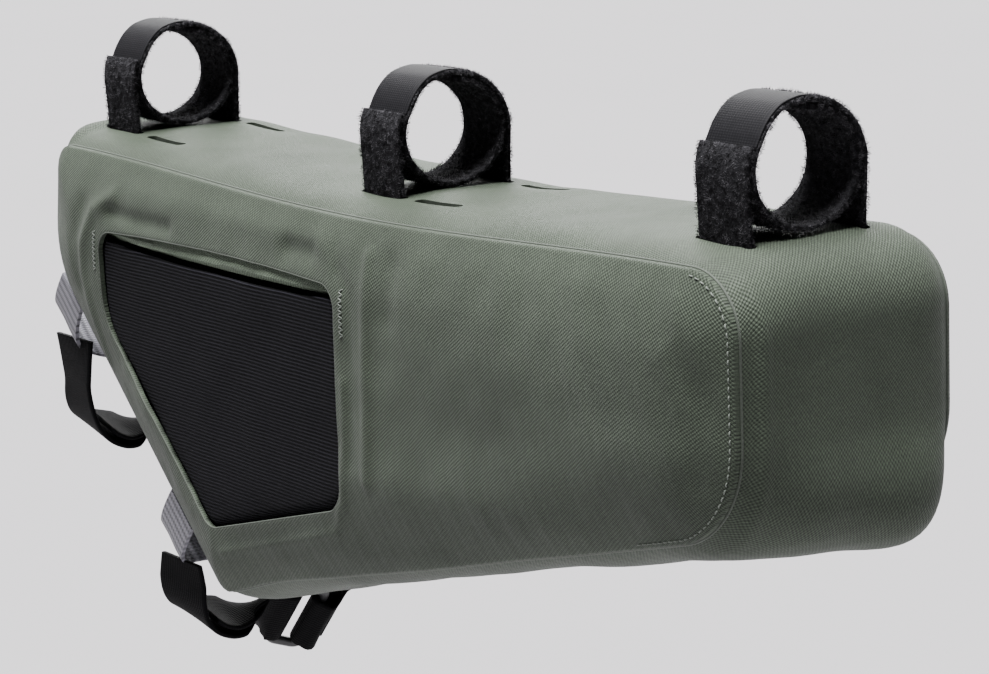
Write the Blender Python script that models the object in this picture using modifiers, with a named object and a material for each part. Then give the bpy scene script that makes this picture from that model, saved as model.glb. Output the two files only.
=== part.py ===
"""Bicycle frame bag with a stretch pocket, built as separate pieces in metres, +Z up.

+X runs forward along the top edge, +Y away from the pocket side, and the origin is the
centre of the middle top strap's loop, where the bag hangs from the bicycle's top tube.
The side shape is one outline in the XZ plane. The gusset, both side panels, the pocket and
the seat straps all take their places from that outline and from the sizes below.
"""
import math

import bmesh
import bpy
import numpy as np
from mathutils import Matrix, Vector

# Side outline, measured at the seam between the panels and the gusset
TOP_LENGTH = 0.348
FRONT_HEIGHT = 0.065
REAR_HEIGHT = 0.1345
UPRIGHT_HEIGHT = 0.040
UPRIGHT_LEAN = 0.007
BASE_LENGTH = 0.254
TOP_SAG = 0.0048
REAR_TOP_RADIUS = 0.009
FRONT_TOP_RADIUS = 0.017
FRONT_LOW_RADIUS = 0.030
REAR_LOW_RADIUS = 0.008
REAR_BEND_RADIUS = 0.028

# Cloth walls and how far they stand out
BAG_WIDTH = 0.0720
CLOTH = 0.0018
GAP = 0.0003
LONGEST_RUN = 0.024
TOP_CROWN = 0.0044
FRONT_CROWN = 0.0035
UPRIGHT_CROWN = 0.0085
EDGE_CROWN = 0.0040
REAR_TOP_CROWN = 0.0095
FRONT_LOW_CROWN = 0.0185
NEAR_BULGE = 0.0055
FAR_BULGE = 0.0020
BULGE_REACH = 0.031

# The band's section: its rows as shares of its half width, the power that keeps its middle
# flat, and the power by which the front low corner grows from the near to the far seam
BAND_ROWS = (-1, -0.93, -0.8, -0.5, 0, 0.5, 0.8, 0.93, 1)
BAND_FLATNESS = 6
CORNER_GROWTH = 0.8

# A panel's rings as shares of the way out from the bag's middle line, and where that line
# starts: how far behind the outline's middle, and its drop as a share of the upright's height
PANEL_RINGS = (1, 0.9, 0.75, 0.55, 0.3, 0.1)
MIDDLE_LINE_SHIFT = 0.02
MIDDLE_LINE_DROP = 1.1

# How far a cutter reaches to each side of its cloth, and how round a slot's ends are
CUTTER_REACH = 0.012
SLOT_ROUNDING = 0.98

# One row for each fold of the base: share of the base's length from the rear, how far the
# seam is drawn up there, and how far the cloth between the seams stands out
BASE_ROWS = (
    (0.00, 0.0000, 0.0045),
    (0.14, 0.0020, 0.0048),
    (0.27, 0.0013, 0.0046),
    (0.47, 0.0005, 0.0038),
    (0.61, 0.0006, 0.0046),
    (0.76, 0.0002, 0.0052),
    (0.92, 0.0000, 0.0062),
    (1.00, 0.0000, 0.0066),
)

# Slots in the top and the three top straps
STRAP_WIDTH = 0.020
STRAP_THICKNESS = 0.0017
SLOT_SIDE_PLAY = 0.001
SLOT_OPENING = 0.0034
SLOT_SPREAD = 0.0187
PAIR_PITCH = 0.0277
REAR_STRAP_INSET = 0.015
MIDDLE_STRAP_INSET = 0.171
FRONT_STRAP_INSET = 0.023
LOOP_BORE_WIDTH = 0.0330
LOOP_BORE_HEIGHT = 0.0285
LAYER_GAP = 0.00035
SURFACE_GAP = 0.0007
STRAP_BEND = 1.2

# Where a top strap's runs start and end, in degrees round its loop from the far side
TAIL_LEAN = 24
OUTER_END = 112
DIP_START = 146
INNER_START = 195
INNER_END = 440
CROSSING_TURN = 60

# Pocket on the near side
POCKET_TOP_DROP = 0.0243
POCKET_LENGTH = 0.141
POCKET_REAR_INSET = 0.0195
POCKET_LOW_INSET = 0.0212
POCKET_CORNER = 0.007
MESH_THICKNESS = 0.0012
MOUTH_OPENING = 0.0056
POCKET_DEPTH = 0.0062
POCKET_FLANGE = 0.006
LAYER_PLAY = 0.0007
POCKET_BEND_SHARE = 0.75
POCKET_SPLITS = (5, 3, 4, 4, 1)

# The window's corners as shares of POCKET_CORNER: the least at the top, then the low front,
# the low rear and the bend; the lip's place as a share of the flange, and the inner rings
LEAST_TOP_CORNER = 0.3
LOW_FRONT_CORNER = 1.6
LOW_REAR_CORNER = 1.2
BEND_CORNER = 3
LIP_SHARE = 0.3
POCKET_RINGS = (0.7, 0.3)

# Zip on the far side, with its end play as a share of its width
ZIP_LENGTH = 0.290
ZIP_WIDTH = 0.011
ZIP_DROP = 0.022
ZIP_END_PLAY = 0.12
ZIP_STATIONS = 15

# Seat-tube keepers, straps and buckles
KEEPER_WEB = 0.0013
KEEPER_SPAN = 0.026
KEEPER_INSET = 0.0010
KEEPER_FLATNESS = 8
KEEPER_STEPS = 13
KEEPER_STEP_POWER = 0.7
KEEPER_SWEEP = 1.3
SEAT_WEB_WIDTH = 0.025
WEB_THICKNESS = 0.0016
SEAT_LOOP_WIDTH = 0.0584
LAYER_SPREAD = 0.0032
BUCKLE_BAR = 0.0034
BUCKLE_REACH = 0.0105
BUCKLE_SIDE_PLAY = 0.0030
BUCKLE_SHIFT = 0.0058
BUCKLE_TILT = 48.0
BUCKLE_DIP = 27.0
TAB_TAIL = 0.0075
SEAT_GAP = 0.0005
SEWN_GAP = 0.00035
WRAP_STEPS = 6
LAYER_START = 4
LAYER_EASE = 4

# One row for each seat strap: name, keeper start and length along the slanted edge,
# keeper bulge, shortest keeper side as a share of its length, loop centre along the edge,
# length of the near leg, depth of the bowl below it, turn of the near leg in degrees
SEAT_ROWS = (
    ("upper", 0.0025, 0.038, 0.0183, 0.42, 0.0164, 0.0162, 0.0210, -9.0),
    ("lower", 0.0945, 0.018, 0.0203, 0.90, 0.1088, 0.0080, 0.0170, 6.0),
)

# One row for each place along a seat loop's bowl, near side first: share of half the
# loop's width, share of the bowl's depth, tilt of the width as a share of BUCKLE_TILT,
# share of BUCKLE_SHIFT
STRAP_BOWL = (
    (-1.000, 0.00, 0.00, 0.0),
    (-0.995, 0.25, -0.03, 0.0),
    (-0.970, 0.44, -0.08, 0.0),
    (-0.920, 0.61, -0.15, 0.0),
    (-0.830, 0.755, -0.22, 0.0),
    (-0.700, 0.87, -0.27, 0.0),
    (-0.540, 0.945, -0.27, 0.0),
    (-0.360, 0.98, -0.12, 0.05),
    (-0.200, 0.99, 0.28, 0.25),
    (-0.080, 0.98, 0.72, 0.55),
    (0.030, 1.00, 1.00, 0.8),
    (0.137, 1.06, 1.00, 1.0),
)
TAB_BOWL = (
    (0.80, 0.98, 0.72, 1.1),
    (0.90, 0.82, 0.42, 0.8),
    (0.965, 0.58, 0.18, 0.4),
    (0.995, 0.30, 0.05, 0.15),
    (1.000, 0.00, 0.00, 0.0),
)

# Colours as linear red, green and blue
OLIVE = (0.088, 0.115, 0.085)
DARK_GREEN = (0.060, 0.082, 0.060)
BLACK_PILE = (0.014, 0.013, 0.015)
BLACK_MESH = (0.020, 0.019, 0.023)
GREY_WEB = (0.17, 0.165, 0.185)
BLACK_WEB = (0.016, 0.016, 0.018)
BLACK_PLASTIC = (0.012, 0.012, 0.013)

HALF_WIDTH = BAG_WIDTH / 2
GUSSET_HALF = HALF_WIDTH - CLOTH - GAP
LOOP_FLOOR = STRAP_THICKNESS + SURFACE_GAP
TOP_SURFACE = -(LOOP_BORE_HEIGHT / 2 + LOOP_FLOOR)
SEAM_TOP = TOP_SURFACE + TOP_SAG - TOP_CROWN
REAR_END = -MIDDLE_STRAP_INSET
FRONT_END = REAR_END + TOP_LENGTH
STRAP_PLACES = {
    "rear": REAR_END + REAR_STRAP_INSET,
    "middle": 0.0,
    "front": FRONT_END - FRONT_STRAP_INSET,
}
SPARE_PLACES = (STRAP_PLACES["rear"] + PAIR_PITCH, STRAP_PLACES["middle"] + PAIR_PITCH)


def clear_scene():
    """Removes every object that the file opened with."""
    for old in list(bpy.data.objects):
        bpy.data.objects.remove(old, do_unlink=True)


def make_collection(name):
    """Links a new collection to the scene and returns it."""
    group = bpy.data.collections.new(name)
    bpy.context.scene.collection.children.link(group)
    return group


def make_material(name, colour, roughness, metallic=0.0):
    """Returns a Principled material with the given plain values."""
    material = bpy.data.materials.new(name)
    material.use_nodes = True
    shader = material.node_tree.nodes["Principled BSDF"]
    shader.inputs["Base Color"].default_value = (*colour, 1.0)
    shader.inputs["Roughness"].default_value = roughness
    shader.inputs["Metallic"].default_value = metallic
    material.diffuse_color = (*colour, 1.0)
    return material


def side_splits(corners, longest):
    """Returns into how many runs each side of a polygon splits, none over longest."""
    return [math.ceil((Vector(corner) - Vector(corners[index - len(corners) + 1])).length
                      / longest) for index, corner in enumerate(corners)]


def rounded_outline(corners, radii, splits):
    """Rounds a closed polygon's corners with arcs and splits its sides.

    Each arc takes a point about every 18 degrees, and each side as many runs as splits
    says, so that a side can be bent and outlines with the same splits match.
    """
    corners = [Vector(corner) for corner in corners]
    count = len(corners)
    arcs = []
    for index, corner in enumerate(corners):
        before = (corners[index - 1] - corner).normalized()
        after = (corners[(index + 1) % count] - corner).normalized()
        inner = before.angle(after)
        setback = radii[index] / math.tan(inner / 2)
        centre = corner + (before + after).normalized() * radii[index] / math.sin(inner / 2)
        start = corner + before * setback - centre
        turn = start.angle_signed(corner + after * setback - centre)
        steps = max(2, round(abs(turn) / math.radians(18)))
        arc = []
        for step in range(steps + 1):
            spoke = start.copy()
            spoke.rotate(Matrix.Rotation(-turn * step / steps, 2))
            arc.append(centre + spoke)
        arcs.append(arc)
    points = []
    for index, arc in enumerate(arcs):
        points.extend(arc)
        following = arcs[(index + 1) % count][0]
        run = following - arc[-1]
        points.extend(arc[-1] + run * piece / splits[index]
                      for piece in range(1, splits[index]))
    return np.array([tuple(point) for point in points])


def outward_normals(outline):
    """Returns the unit normals that point out of a closed clockwise outline."""
    tangent = np.roll(outline, -1, axis=0) - np.roll(outline, 1, axis=0)
    normal = np.stack([-tangent[:, 1], tangent[:, 0]], axis=1)
    return normal / np.linalg.norm(normal, axis=1, keepdims=True)


def outline_corners():
    """Returns the five corners of the side outline, from the rear top, clockwise."""
    top = SEAM_TOP
    return (
        (REAR_END, top),
        (FRONT_END, top),
        (FRONT_END, top - FRONT_HEIGHT),
        (FRONT_END - BASE_LENGTH, top - REAR_HEIGHT),
        (REAR_END - UPRIGHT_LEAN, top - UPRIGHT_HEIGHT),
    )


def base_value(places, column):
    """Returns a column of the base's rows at places along the bag."""
    rows = np.array(BASE_ROWS)
    share = (places - FRONT_END + BASE_LENGTH) / BASE_LENGTH
    return np.interp(share, rows[:, 0], rows[:, column])


def bag_outline():
    """Returns the seam's outline: the top side sags and the base is drawn up in folds."""
    radii = (REAR_TOP_RADIUS, FRONT_TOP_RADIUS, FRONT_LOW_RADIUS, REAR_LOW_RADIUS,
             REAR_BEND_RADIUS)
    corners = outline_corners()
    outline = rounded_outline(corners, radii, side_splits(corners, LONGEST_RUN))
    facing = outward_normals(outline)[:, 1]
    share = np.clip((outline[:, 0] - REAR_END) / TOP_LENGTH, 0, 1)
    outline[:, 1] -= np.clip(facing, 0, 1) * TOP_SAG * np.sin(math.pi * share) ** 2
    outline[:, 1] += np.clip(-facing, 0, 1) ** 4 * base_value(outline[:, 0], 1)
    return outline


def edge_frame():
    """Returns the slanted rear edge's upper corner, its direction and its outward normal."""
    corners = outline_corners()
    upper = Vector((corners[4][0], 0, corners[4][1]))
    lower = Vector((corners[3][0], 0, corners[3][1]))
    along = (lower - upper).normalized()
    outward = Vector((along.z, 0, -along.x))
    return upper, along, outward


def crown_of(outline, normals):
    """Blends the sides' and corners' crowns by the direction that each point faces.

    Returns the crown and what the front low corner adds to it, which is all there at the
    far seam only.
    """
    up = np.clip(normals[:, 1], 0, 1) ** 2
    down = np.clip(-normals[:, 1], 0, 1) ** 2
    ahead = np.clip(normals[:, 0], 0, 1) ** 2
    behind = np.clip(-normals[:, 0], 0, 1) ** 2
    crown = TOP_CROWN * up + base_value(outline[:, 0], 2) * down
    crown += FRONT_CROWN * ahead + UPRIGHT_CROWN * behind
    for share, corner_crown in ((up * behind, REAR_TOP_CROWN), (down * behind, EDGE_CROWN)):
        crown = crown * (1 - 4 * share) + corner_crown * 4 * share
    return crown, (FRONT_LOW_CROWN - crown) * 4 * down * ahead


def crown_share(across):
    """Returns the band's rise from 0 at a seam to 1 across its flat middle."""
    return 1 - np.abs(across) ** BAND_FLATNESS


def mesh_object(name, vertices, faces, group, material=None):
    """Makes an object from vertices and faces, with its faces turned outwards."""
    mesh = bpy.data.meshes.new(name)
    mesh.from_pydata([tuple(vertex) for vertex in vertices], [], faces)
    mesh.update()
    made = bpy.data.objects.new(name, mesh)
    group.objects.link(made)
    if material:
        mesh.materials.append(material)
    return made


def grid_faces(rows, columns, closed):
    """Returns the quads of a grid; a closed one joins its last column to its first."""
    faces = []
    for row in range(rows - 1):
        for column in range(columns if closed else columns - 1):
            following = (column + 1) % columns
            faces.append((row * columns + column, row * columns + following,
                          (row + 1) * columns + following, (row + 1) * columns + column))
    return faces


def add_solidify(made, thickness, offset):
    """Gives an open surface its thickness."""
    solid = made.modifiers.new("Thickness", "SOLIDIFY")
    solid.thickness = thickness
    solid.offset = offset
    solid.use_even_offset = True
    solid.use_rim = True
    return solid


def add_cut(made, cutter):
    """Cuts the cutter's shape out of an object."""
    cut = made.modifiers.new("Cut " + cutter.name, "BOOLEAN")
    cut.operation = "DIFFERENCE"
    cut.solver = "EXACT"
    cut.object = cutter


def outline_plate(name, outline, half_depth, group, turn, place):
    """Makes a closed plate from a flat outline: a filled 2D curve turned into a mesh."""
    curve = bpy.data.curves.new(name, "CURVE")
    curve.dimensions = "2D"
    curve.fill_mode = "BOTH"
    curve.extrude = half_depth
    spline = curve.splines.new("POLY")
    spline.points.add(len(outline) - 1)
    for point, (across, up) in zip(spline.points, outline):
        point.co = (across, up, 0, 1)
    spline.use_cyclic_u = True
    drawn = bpy.data.objects.new(name + " curve", curve)
    group.objects.link(drawn)
    drawn.matrix_world = Matrix.Translation(place) @ turn
    bpy.context.view_layer.update()
    evaluated = drawn.evaluated_get(bpy.context.evaluated_depsgraph_get())
    mesh = bpy.data.meshes.new_from_object(evaluated)
    mesh.name = name
    plate = bpy.data.objects.new(name, mesh)
    group.objects.link(plate)
    plate.matrix_world = drawn.matrix_world.copy()
    bpy.data.objects.remove(drawn, do_unlink=True)
    worked = bmesh.new()
    worked.from_mesh(mesh)
    bmesh.ops.remove_doubles(worked, verts=worked.verts, dist=0.00001)
    bmesh.ops.recalc_face_normals(worked, faces=worked.faces)
    worked.to_mesh(mesh)
    worked.free()
    return plate


def make_cutter(name, outline, half_depth, group, turn, place):
    """Makes a plate that only cuts others and is never built."""
    cutter = outline_plate(name, outline, half_depth, group, turn, place)
    cutter.hide_render = True
    cutter.display_type = "WIRE"
    return cutter


def slot_outline(length, opening):
    """Returns a slot's outline with round ends, centred on the origin."""
    half = length / 2
    radius = opening / 2
    corners = ((-half, radius), (half, radius), (half, -radius), (-half, -radius))
    return rounded_outline(corners, (radius * SLOT_ROUNDING,) * 4, (1,) * 4)


def top_height(place):
    """Returns the height of the top surface's middle at a place along the bag."""
    share = (place - REAR_END) / TOP_LENGTH
    return SEAM_TOP + TOP_CROWN - TOP_SAG * math.sin(math.pi * share) ** 2


def make_gusset(group, cutters, material):
    """Makes the band that wraps the top, front, base and rear, with its strap slots."""
    outline = bag_outline()
    normals = outward_normals(outline)
    crown, corner = crown_of(outline, normals)
    across = np.array(BAND_ROWS)
    growth = ((1 + across) / 2) ** CORNER_GROWTH
    rise = crown_share(across)[:, None] * (crown[None, :] + growth[:, None] * corner[None, :])
    shape = np.zeros((len(across), len(outline), 3))
    shape[:, :, 0] = outline[None, :, 0] + normals[None, :, 0] * rise
    shape[:, :, 1] = (across * GUSSET_HALF)[:, None]
    shape[:, :, 2] = outline[None, :, 1] + normals[None, :, 1] * rise
    faces = grid_faces(len(across), len(outline), closed=True)
    band = mesh_object("gusset", shape.reshape(-1, 3), faces, group, material)
    add_solidify(band, CLOTH, -1)
    outline_of_slot = slot_outline(STRAP_WIDTH + 2 * SLOT_SIDE_PLAY, SLOT_OPENING)
    for place in (*STRAP_PLACES.values(), *SPARE_PLACES):
        for side in (-1, 1):
            spot = Vector((place, side * SLOT_SPREAD, top_height(place)))
            name = f"slot at {place * 1000:.0f} side {side}"
            add_cut(band, make_cutter(name, outline_of_slot, CUTTER_REACH, cutters,
                                      Matrix.Identity(4), spot))
    return band


def distance_inside(points, outline):
    """Returns each point's distance to the nearest side of a closed outline."""
    start = outline[None, :, :]
    run = np.roll(outline, -1, axis=0)[None, :, :] - start
    offset = points[:, None, :] - start
    share = np.clip((offset * run).sum(2) / (run * run).sum(2), 0, 1)
    return np.linalg.norm(offset - share[:, :, None] * run, axis=2).min(axis=1)


def panel_bulge(points, outline, height):
    """Returns how far a panel's outer face stands out from its edge at each point.

    The rise is half a cosine wave: level at the seam and at its full height BULGE_REACH
    inside.
    """
    share = np.clip(distance_inside(points, outline) / BULGE_REACH, 0, 1)
    return height * (1 - np.cos(math.pi * share)) / 2


def spine_points(outline):
    """Returns for each outline point the nearest point of the bag's middle line."""
    corners = outline_corners()
    start = np.array(((corners[0][0] + corners[3][0]) / 2 - MIDDLE_LINE_SHIFT,
                      SEAM_TOP - UPRIGHT_HEIGHT * MIDDLE_LINE_DROP))
    end = np.array((FRONT_END - FRONT_HEIGHT / 2, SEAM_TOP - FRONT_HEIGHT / 2))
    run = end - start
    share = np.clip((outline - start) @ run / (run @ run), 0, 1)
    return start + share[:, None] * run


def make_panel(name, side, bulge, group, material):
    """Makes a cushioned side panel as rings that close in on the middle line."""
    outline = bag_outline()
    spine = spine_points(outline)
    rings = np.stack([spine + (outline - spine) * share for share in PANEL_RINGS])
    flat = rings.reshape(-1, 2)
    stand = HALF_WIDTH + panel_bulge(flat, outline, bulge)
    vertices = np.stack([flat[:, 0], side * stand, flat[:, 1]], axis=1)
    faces = grid_faces(len(rings), len(outline), closed=True)
    last = (len(rings) - 1) * len(outline)
    faces.append(tuple(range(last, last + len(outline))))
    if side < 0:
        faces = [tuple(reversed(face)) for face in faces]
    panel = mesh_object(name, vertices, faces, group, material)
    add_solidify(panel, CLOTH, -1)
    return panel


def pocket_outline(growth, rise):
    """Returns the pocket window's outline, grown by a margin, its top raised by a rise.

    The rear side runs beside the slanted edge and the lower side beside the base, each
    at its own inset, so that the window follows the bag's shape.
    """
    upper, along, outward = edge_frame()
    corners = outline_corners()
    base_run = (Vector(corners[2]) - Vector(corners[3])).normalized()
    rear_run = Vector((along.x, along.z))
    rear_out = Vector((outward.x, outward.z))
    rear_point = Vector((upper.x, upper.z)) - rear_out * POCKET_REAR_INSET
    low_point = Vector(corners[3]) + Vector((-base_run.y, base_run.x)) * (
        POCKET_LOW_INSET - growth)
    top = SEAM_TOP - POCKET_TOP_DROP + rise
    bend = Vector((0, upper.z - POCKET_REAR_INSET * POCKET_BEND_SHARE))
    rear_x = meet(rear_point, rear_run, bend, Vector((1, 0))).x
    front_x = rear_x + POCKET_LENGTH + growth
    rear_x -= growth
    rear_point += rear_out * growth
    low_rear = meet(rear_point, rear_run, low_point, base_run)
    low_front = meet(low_point, base_run, Vector((front_x, 0)), Vector((0, 1)))
    bend = meet(rear_point, rear_run, Vector((rear_x, 0)), Vector((0, 1)))
    shape = ((rear_x, top), (front_x, top), tuple(low_front), tuple(low_rear), tuple(bend))
    top_radius = max(POCKET_CORNER + rise, POCKET_CORNER * LEAST_TOP_CORNER)
    radii = (top_radius, top_radius, POCKET_CORNER * LOW_FRONT_CORNER + growth,
             POCKET_CORNER * LOW_REAR_CORNER + growth, POCKET_CORNER * BEND_CORNER)
    return rounded_outline(shape, radii, POCKET_SPLITS)


def meet(point, run, other_point, other_run):
    """Returns where two lines in the plane meet."""
    cross = run.x * other_run.y - run.y * other_run.x
    gap = other_point - point
    return point + run * ((gap.x * other_run.y - gap.y * other_run.x) / cross)


def sheet_rings(name, rings, depths, thickness, group, material):
    """Makes a sheet behind the near panel from closed rings at given depths."""
    outline = bag_outline()
    flat = np.concatenate(rings)
    depth = np.repeat(depths, [len(ring) for ring in rings])
    stand = -(HALF_WIDTH + panel_bulge(flat, outline, NEAR_BULGE)) + depth
    vertices = np.stack([flat[:, 0], stand, flat[:, 1]], axis=1)
    count = len(rings[0])
    faces = grid_faces(len(rings), count, closed=True)
    last = (len(rings) - 1) * count
    faces.append(tuple(range(last, last + count)))
    sheet = mesh_object(name, vertices, [tuple(reversed(face)) for face in faces],
                        group, material)
    add_solidify(sheet, thickness, -1)
    return sheet


def inner_rings(ring, shares):
    """Returns copies of a ring drawn in towards its middle by the given shares."""
    middle = ring.mean(axis=0)
    return [middle + (ring - middle) * share for share in shares]


def pocket_rings(outer_rise, inner_rise):
    """Returns the rings of a sheet behind the window: its flange and what lies inside."""
    lip = pocket_outline(POCKET_FLANGE * LIP_SHARE, inner_rise)
    return [pocket_outline(POCKET_FLANGE, outer_rise), lip] + inner_rings(lip, POCKET_RINGS)


def make_pocket(near_panel, group, cutters, mesh_material, back_material):
    """Cuts the pocket window and makes the stretch mesh and the recessed back behind it."""
    turn = Matrix.Rotation(math.pi / 2, 4, "X")
    window = pocket_outline(0, 0)
    middle = Vector((0, -HALF_WIDTH, 0))
    add_cut(near_panel, make_cutter("pocket window", window, CUTTER_REACH, cutters, turn,
                                    middle))
    mesh_rings = pocket_rings(-MOUTH_OPENING, -MOUTH_OPENING - POCKET_FLANGE)
    mesh_depth = CLOTH + LAYER_PLAY
    sheet_rings("pocket_mesh", mesh_rings, (mesh_depth,) * len(mesh_rings), MESH_THICKNESS,
                group, mesh_material)
    flange_depth = mesh_depth + MESH_THICKNESS + LAYER_PLAY
    floor = flange_depth + POCKET_DEPTH
    rings = pocket_rings(POCKET_FLANGE, POCKET_FLANGE * LIP_SHARE)
    sheet_rings("pocket_back", rings[:2] + rings[1:],
                (flange_depth, flange_depth, floor, floor, floor), CLOTH, group,
                back_material)


def make_zip(far_panel, group, cutters, material):
    """Cuts the far panel's zip slit and lays the closed zip in it as one plain strip."""
    turn = Matrix.Rotation(math.pi / 2, 4, "X")
    height = SEAM_TOP - TOP_SAG - ZIP_DROP
    middle = (REAR_END + FRONT_END) / 2
    slit = slot_outline(ZIP_LENGTH + 2 * GAP, ZIP_WIDTH + 2 * GAP)
    place = Vector((middle, HALF_WIDTH, height))
    add_cut(far_panel, make_cutter("zip slit", slit, CUTTER_REACH, cutters, turn, place))
    stations = np.linspace(-0.5, 0.5, ZIP_STATIONS)
    rows = np.array((-0.5, 0, 0.5))
    radius = ZIP_WIDTH / 2
    along = stations * (ZIP_LENGTH - ZIP_WIDTH * ZIP_END_PLAY)
    inward = np.clip(np.abs(along) - (ZIP_LENGTH / 2 - radius), 0, radius)
    half = np.sqrt(radius ** 2 - inward ** 2)
    flat = np.zeros((len(rows), len(stations), 2))
    flat[:, :, 0] = middle + along[None, :]
    flat[:, :, 1] = height + rows[:, None] * 2 * half[None, :]
    points = flat.reshape(-1, 2)
    stand = HALF_WIDTH + panel_bulge(points, bag_outline(), FAR_BULGE)
    vertices = np.stack([points[:, 0], stand, points[:, 1]], axis=1)
    faces = [tuple(reversed(face))
             for face in grid_faces(len(rows), len(stations), closed=False)]
    strip = mesh_object("zip_strip", vertices, faces, group, material)
    add_solidify(strip, CLOTH, -1)


def ribbon(name, centres, widths, thickness, group, material):
    """Makes a strap from centre points and the vectors that span its width."""
    centres = np.array([tuple(centre) for centre in centres])
    widths = np.array([tuple(width) for width in widths])
    vertices = np.concatenate([centres - widths / 2, centres + widths / 2])
    made = mesh_object(name, vertices, grid_faces(2, len(centres), closed=False),
                       group, material)
    add_solidify(made, thickness, 0)
    return made


def arc_points(centre, half_across, half_up, start, end, count):
    """Returns points on an ellipse in the YZ plane, by angle in degrees from +Y."""
    angles = np.radians(np.linspace(start, end, count))
    return [(centre[0] + half_across * math.cos(angle),
             centre[1] + half_up * math.sin(angle)) for angle in angles]


def loop_path(floor):
    """Returns a top strap's path in the YZ plane, from its near tail to its inner end.

    The tail rises from the near slot. Below the top the strap crosses to the far slot,
    rises as the outer layer, passes over the crest, dips under the tail and runs on round
    as the inner layer, which rests on the bag and ends past the crest.
    """
    middle = floor + LOOP_FLOOR + LOOP_BORE_HEIGHT / 2
    inner_across = (LOOP_BORE_WIDTH + STRAP_THICKNESS) / 2
    inner_up = (LOOP_BORE_HEIGHT + STRAP_THICKNESS) / 2
    step = STRAP_THICKNESS + LAYER_GAP
    under = floor - CLOTH - SURFACE_GAP - STRAP_THICKNESS / 2
    bend = STRAP_THICKNESS * STRAP_BEND
    outer_across = inner_across + step
    lower = floor + (middle - floor) / 2
    tail = arc_points((0, middle), outer_across, inner_up + step, 180 - TAIL_LEAN, 180, 4)
    tail += [(-(outer_across + SLOT_SPREAD) / 2, lower), (-SLOT_SPREAD, floor),
             (-SLOT_SPREAD, under + bend)]
    crossing = arc_points((-SLOT_SPREAD + bend, under + bend), bend, bend,
                          270 - CROSSING_TURN, 270, 3)
    crossing += arc_points((SLOT_SPREAD - bend, under + bend), bend, bend,
                           270, 270 + CROSSING_TURN, 3)
    rise = [(SLOT_SPREAD, under + bend), (SLOT_SPREAD, floor),
            ((outer_across + SLOT_SPREAD) / 2, lower)]
    outer = arc_points((0, middle), outer_across, inner_up + step, 0, OUTER_END, 9)
    dip = arc_points((0, middle), inner_across, inner_up, DIP_START, 180, 4)
    inner = arc_points((0, middle), inner_across, inner_up, INNER_START, INNER_END, 18)
    return tail + crossing + rise + outer + dip + inner


def make_top_strap(name, place, group, material):
    """Makes one top strap, threaded through its two slots."""
    path = loop_path(top_height(place))
    centres = [(place, across, up) for across, up in path]
    widths = [(STRAP_WIDTH, 0, 0)] * len(path)
    return ribbon(name, centres, widths, STRAP_THICKNESS, group, material)


def keeper_height(across, bulge):
    """Returns how far a keeper's middle surface stands off the edge line, by its Y place."""
    middle = -GUSSET_HALF + KEEPER_INSET + KEEPER_SPAN / 2
    share = np.clip(np.abs(across - middle) / (KEEPER_SPAN / 2), 0, 1)
    return EDGE_CROWN + SEWN_GAP + bulge * np.sqrt(1 - share ** KEEPER_FLATNESS)


def make_keeper(name, start, length, bulge, short_share, group, material):
    """Makes a webbing keeper: a bowed band on the rear edge, cut aslant at its lower end."""
    upper, along, outward = edge_frame()
    near = -GUSSET_HALF + KEEPER_INSET
    turns = np.linspace(0, math.pi, KEEPER_STEPS)
    bow = np.sign(np.cos(turns)) * np.abs(np.cos(turns)) ** KEEPER_STEP_POWER
    across = near + KEEPER_SPAN / 2 * (1 - bow)
    height = keeper_height(across, bulge)
    sweep = np.linspace(0, 1, len(turns)) ** KEEPER_SWEEP
    reach = length * (short_share + (1 - short_share) * sweep)
    vertices = []
    for share in (0.0, 0.5, 1.0):
        for column in range(len(turns)):
            point = upper + along * (start + share * reach[column]) + outward * height[column]
            vertices.append((point.x, across[column], point.z))
    made = mesh_object(name, vertices, grid_faces(3, len(turns), closed=False),
                       group, material)
    add_solidify(made, KEEPER_WEB, 0)
    return made


def seat_frame(centre_along, leg, bulge):
    """Returns a seat loop's X place, the tops of its near and far legs and its rim.

    The near leg hangs from the keeper's outer face and the far leg from the edge itself.
    """
    upper, along, outward = edge_frame()
    inner_face = -(SEAT_LOOP_WIDTH - WEB_THICKNESS) / 2
    near_out = float(keeper_height(np.array(inner_face), bulge)) + KEEPER_WEB / 2 + SEWN_GAP
    far_out = EDGE_CROWN * crown_share(inner_face / GUSSET_HALF) + SEWN_GAP
    near_top = upper + along * centre_along + outward * near_out
    far_top = near_top.z - (near_out - far_out) / outward.z
    return near_top.x, near_top.z, far_top, near_top.z - leg


def bowl_stations(rows, place, rim, depth, turn):
    """Returns the centres, unit width directions and run directions along a bowl's rows.

    The width lies along X, turned by the near leg's turn where the bowl starts and tilted
    up towards the buckle, which hangs askew.
    """
    centres, widths = [], []
    for across, down, tilt, shift in rows:
        lean = math.radians(tilt * BUCKLE_TILT)
        heading = math.radians(turn) * max(0.0, 1 - down)
        widths.append(Vector((math.cos(lean) * math.cos(heading), math.sin(heading),
                              math.sin(lean))).normalized())
        centres.append(Vector((place + shift * BUCKLE_SHIFT, across * SEAT_LOOP_WIDTH / 2,
                               rim - down * depth)))
    runs = [(centres[min(index + 1, len(centres) - 1)] - centres[max(index - 1, 0)])
            .normalized() for index in range(len(centres))]
    return centres, widths, runs


def upward_normal(run, width):
    """Returns the unit normal of a strap's face that points up."""
    normal = run.cross(width).normalized()
    return -normal if normal.z < 0 else normal


def wrapped_bar(hub, normal, run, radius, side):
    """Returns a half turn of a strap round a bar, from below it to above it."""
    turns = [math.pi * step / WRAP_STEPS for step in range(1, WRAP_STEPS)]
    return [hub - normal * radius * math.cos(turn) + run * side * radius * math.sin(turn)
            for turn in turns]


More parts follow.
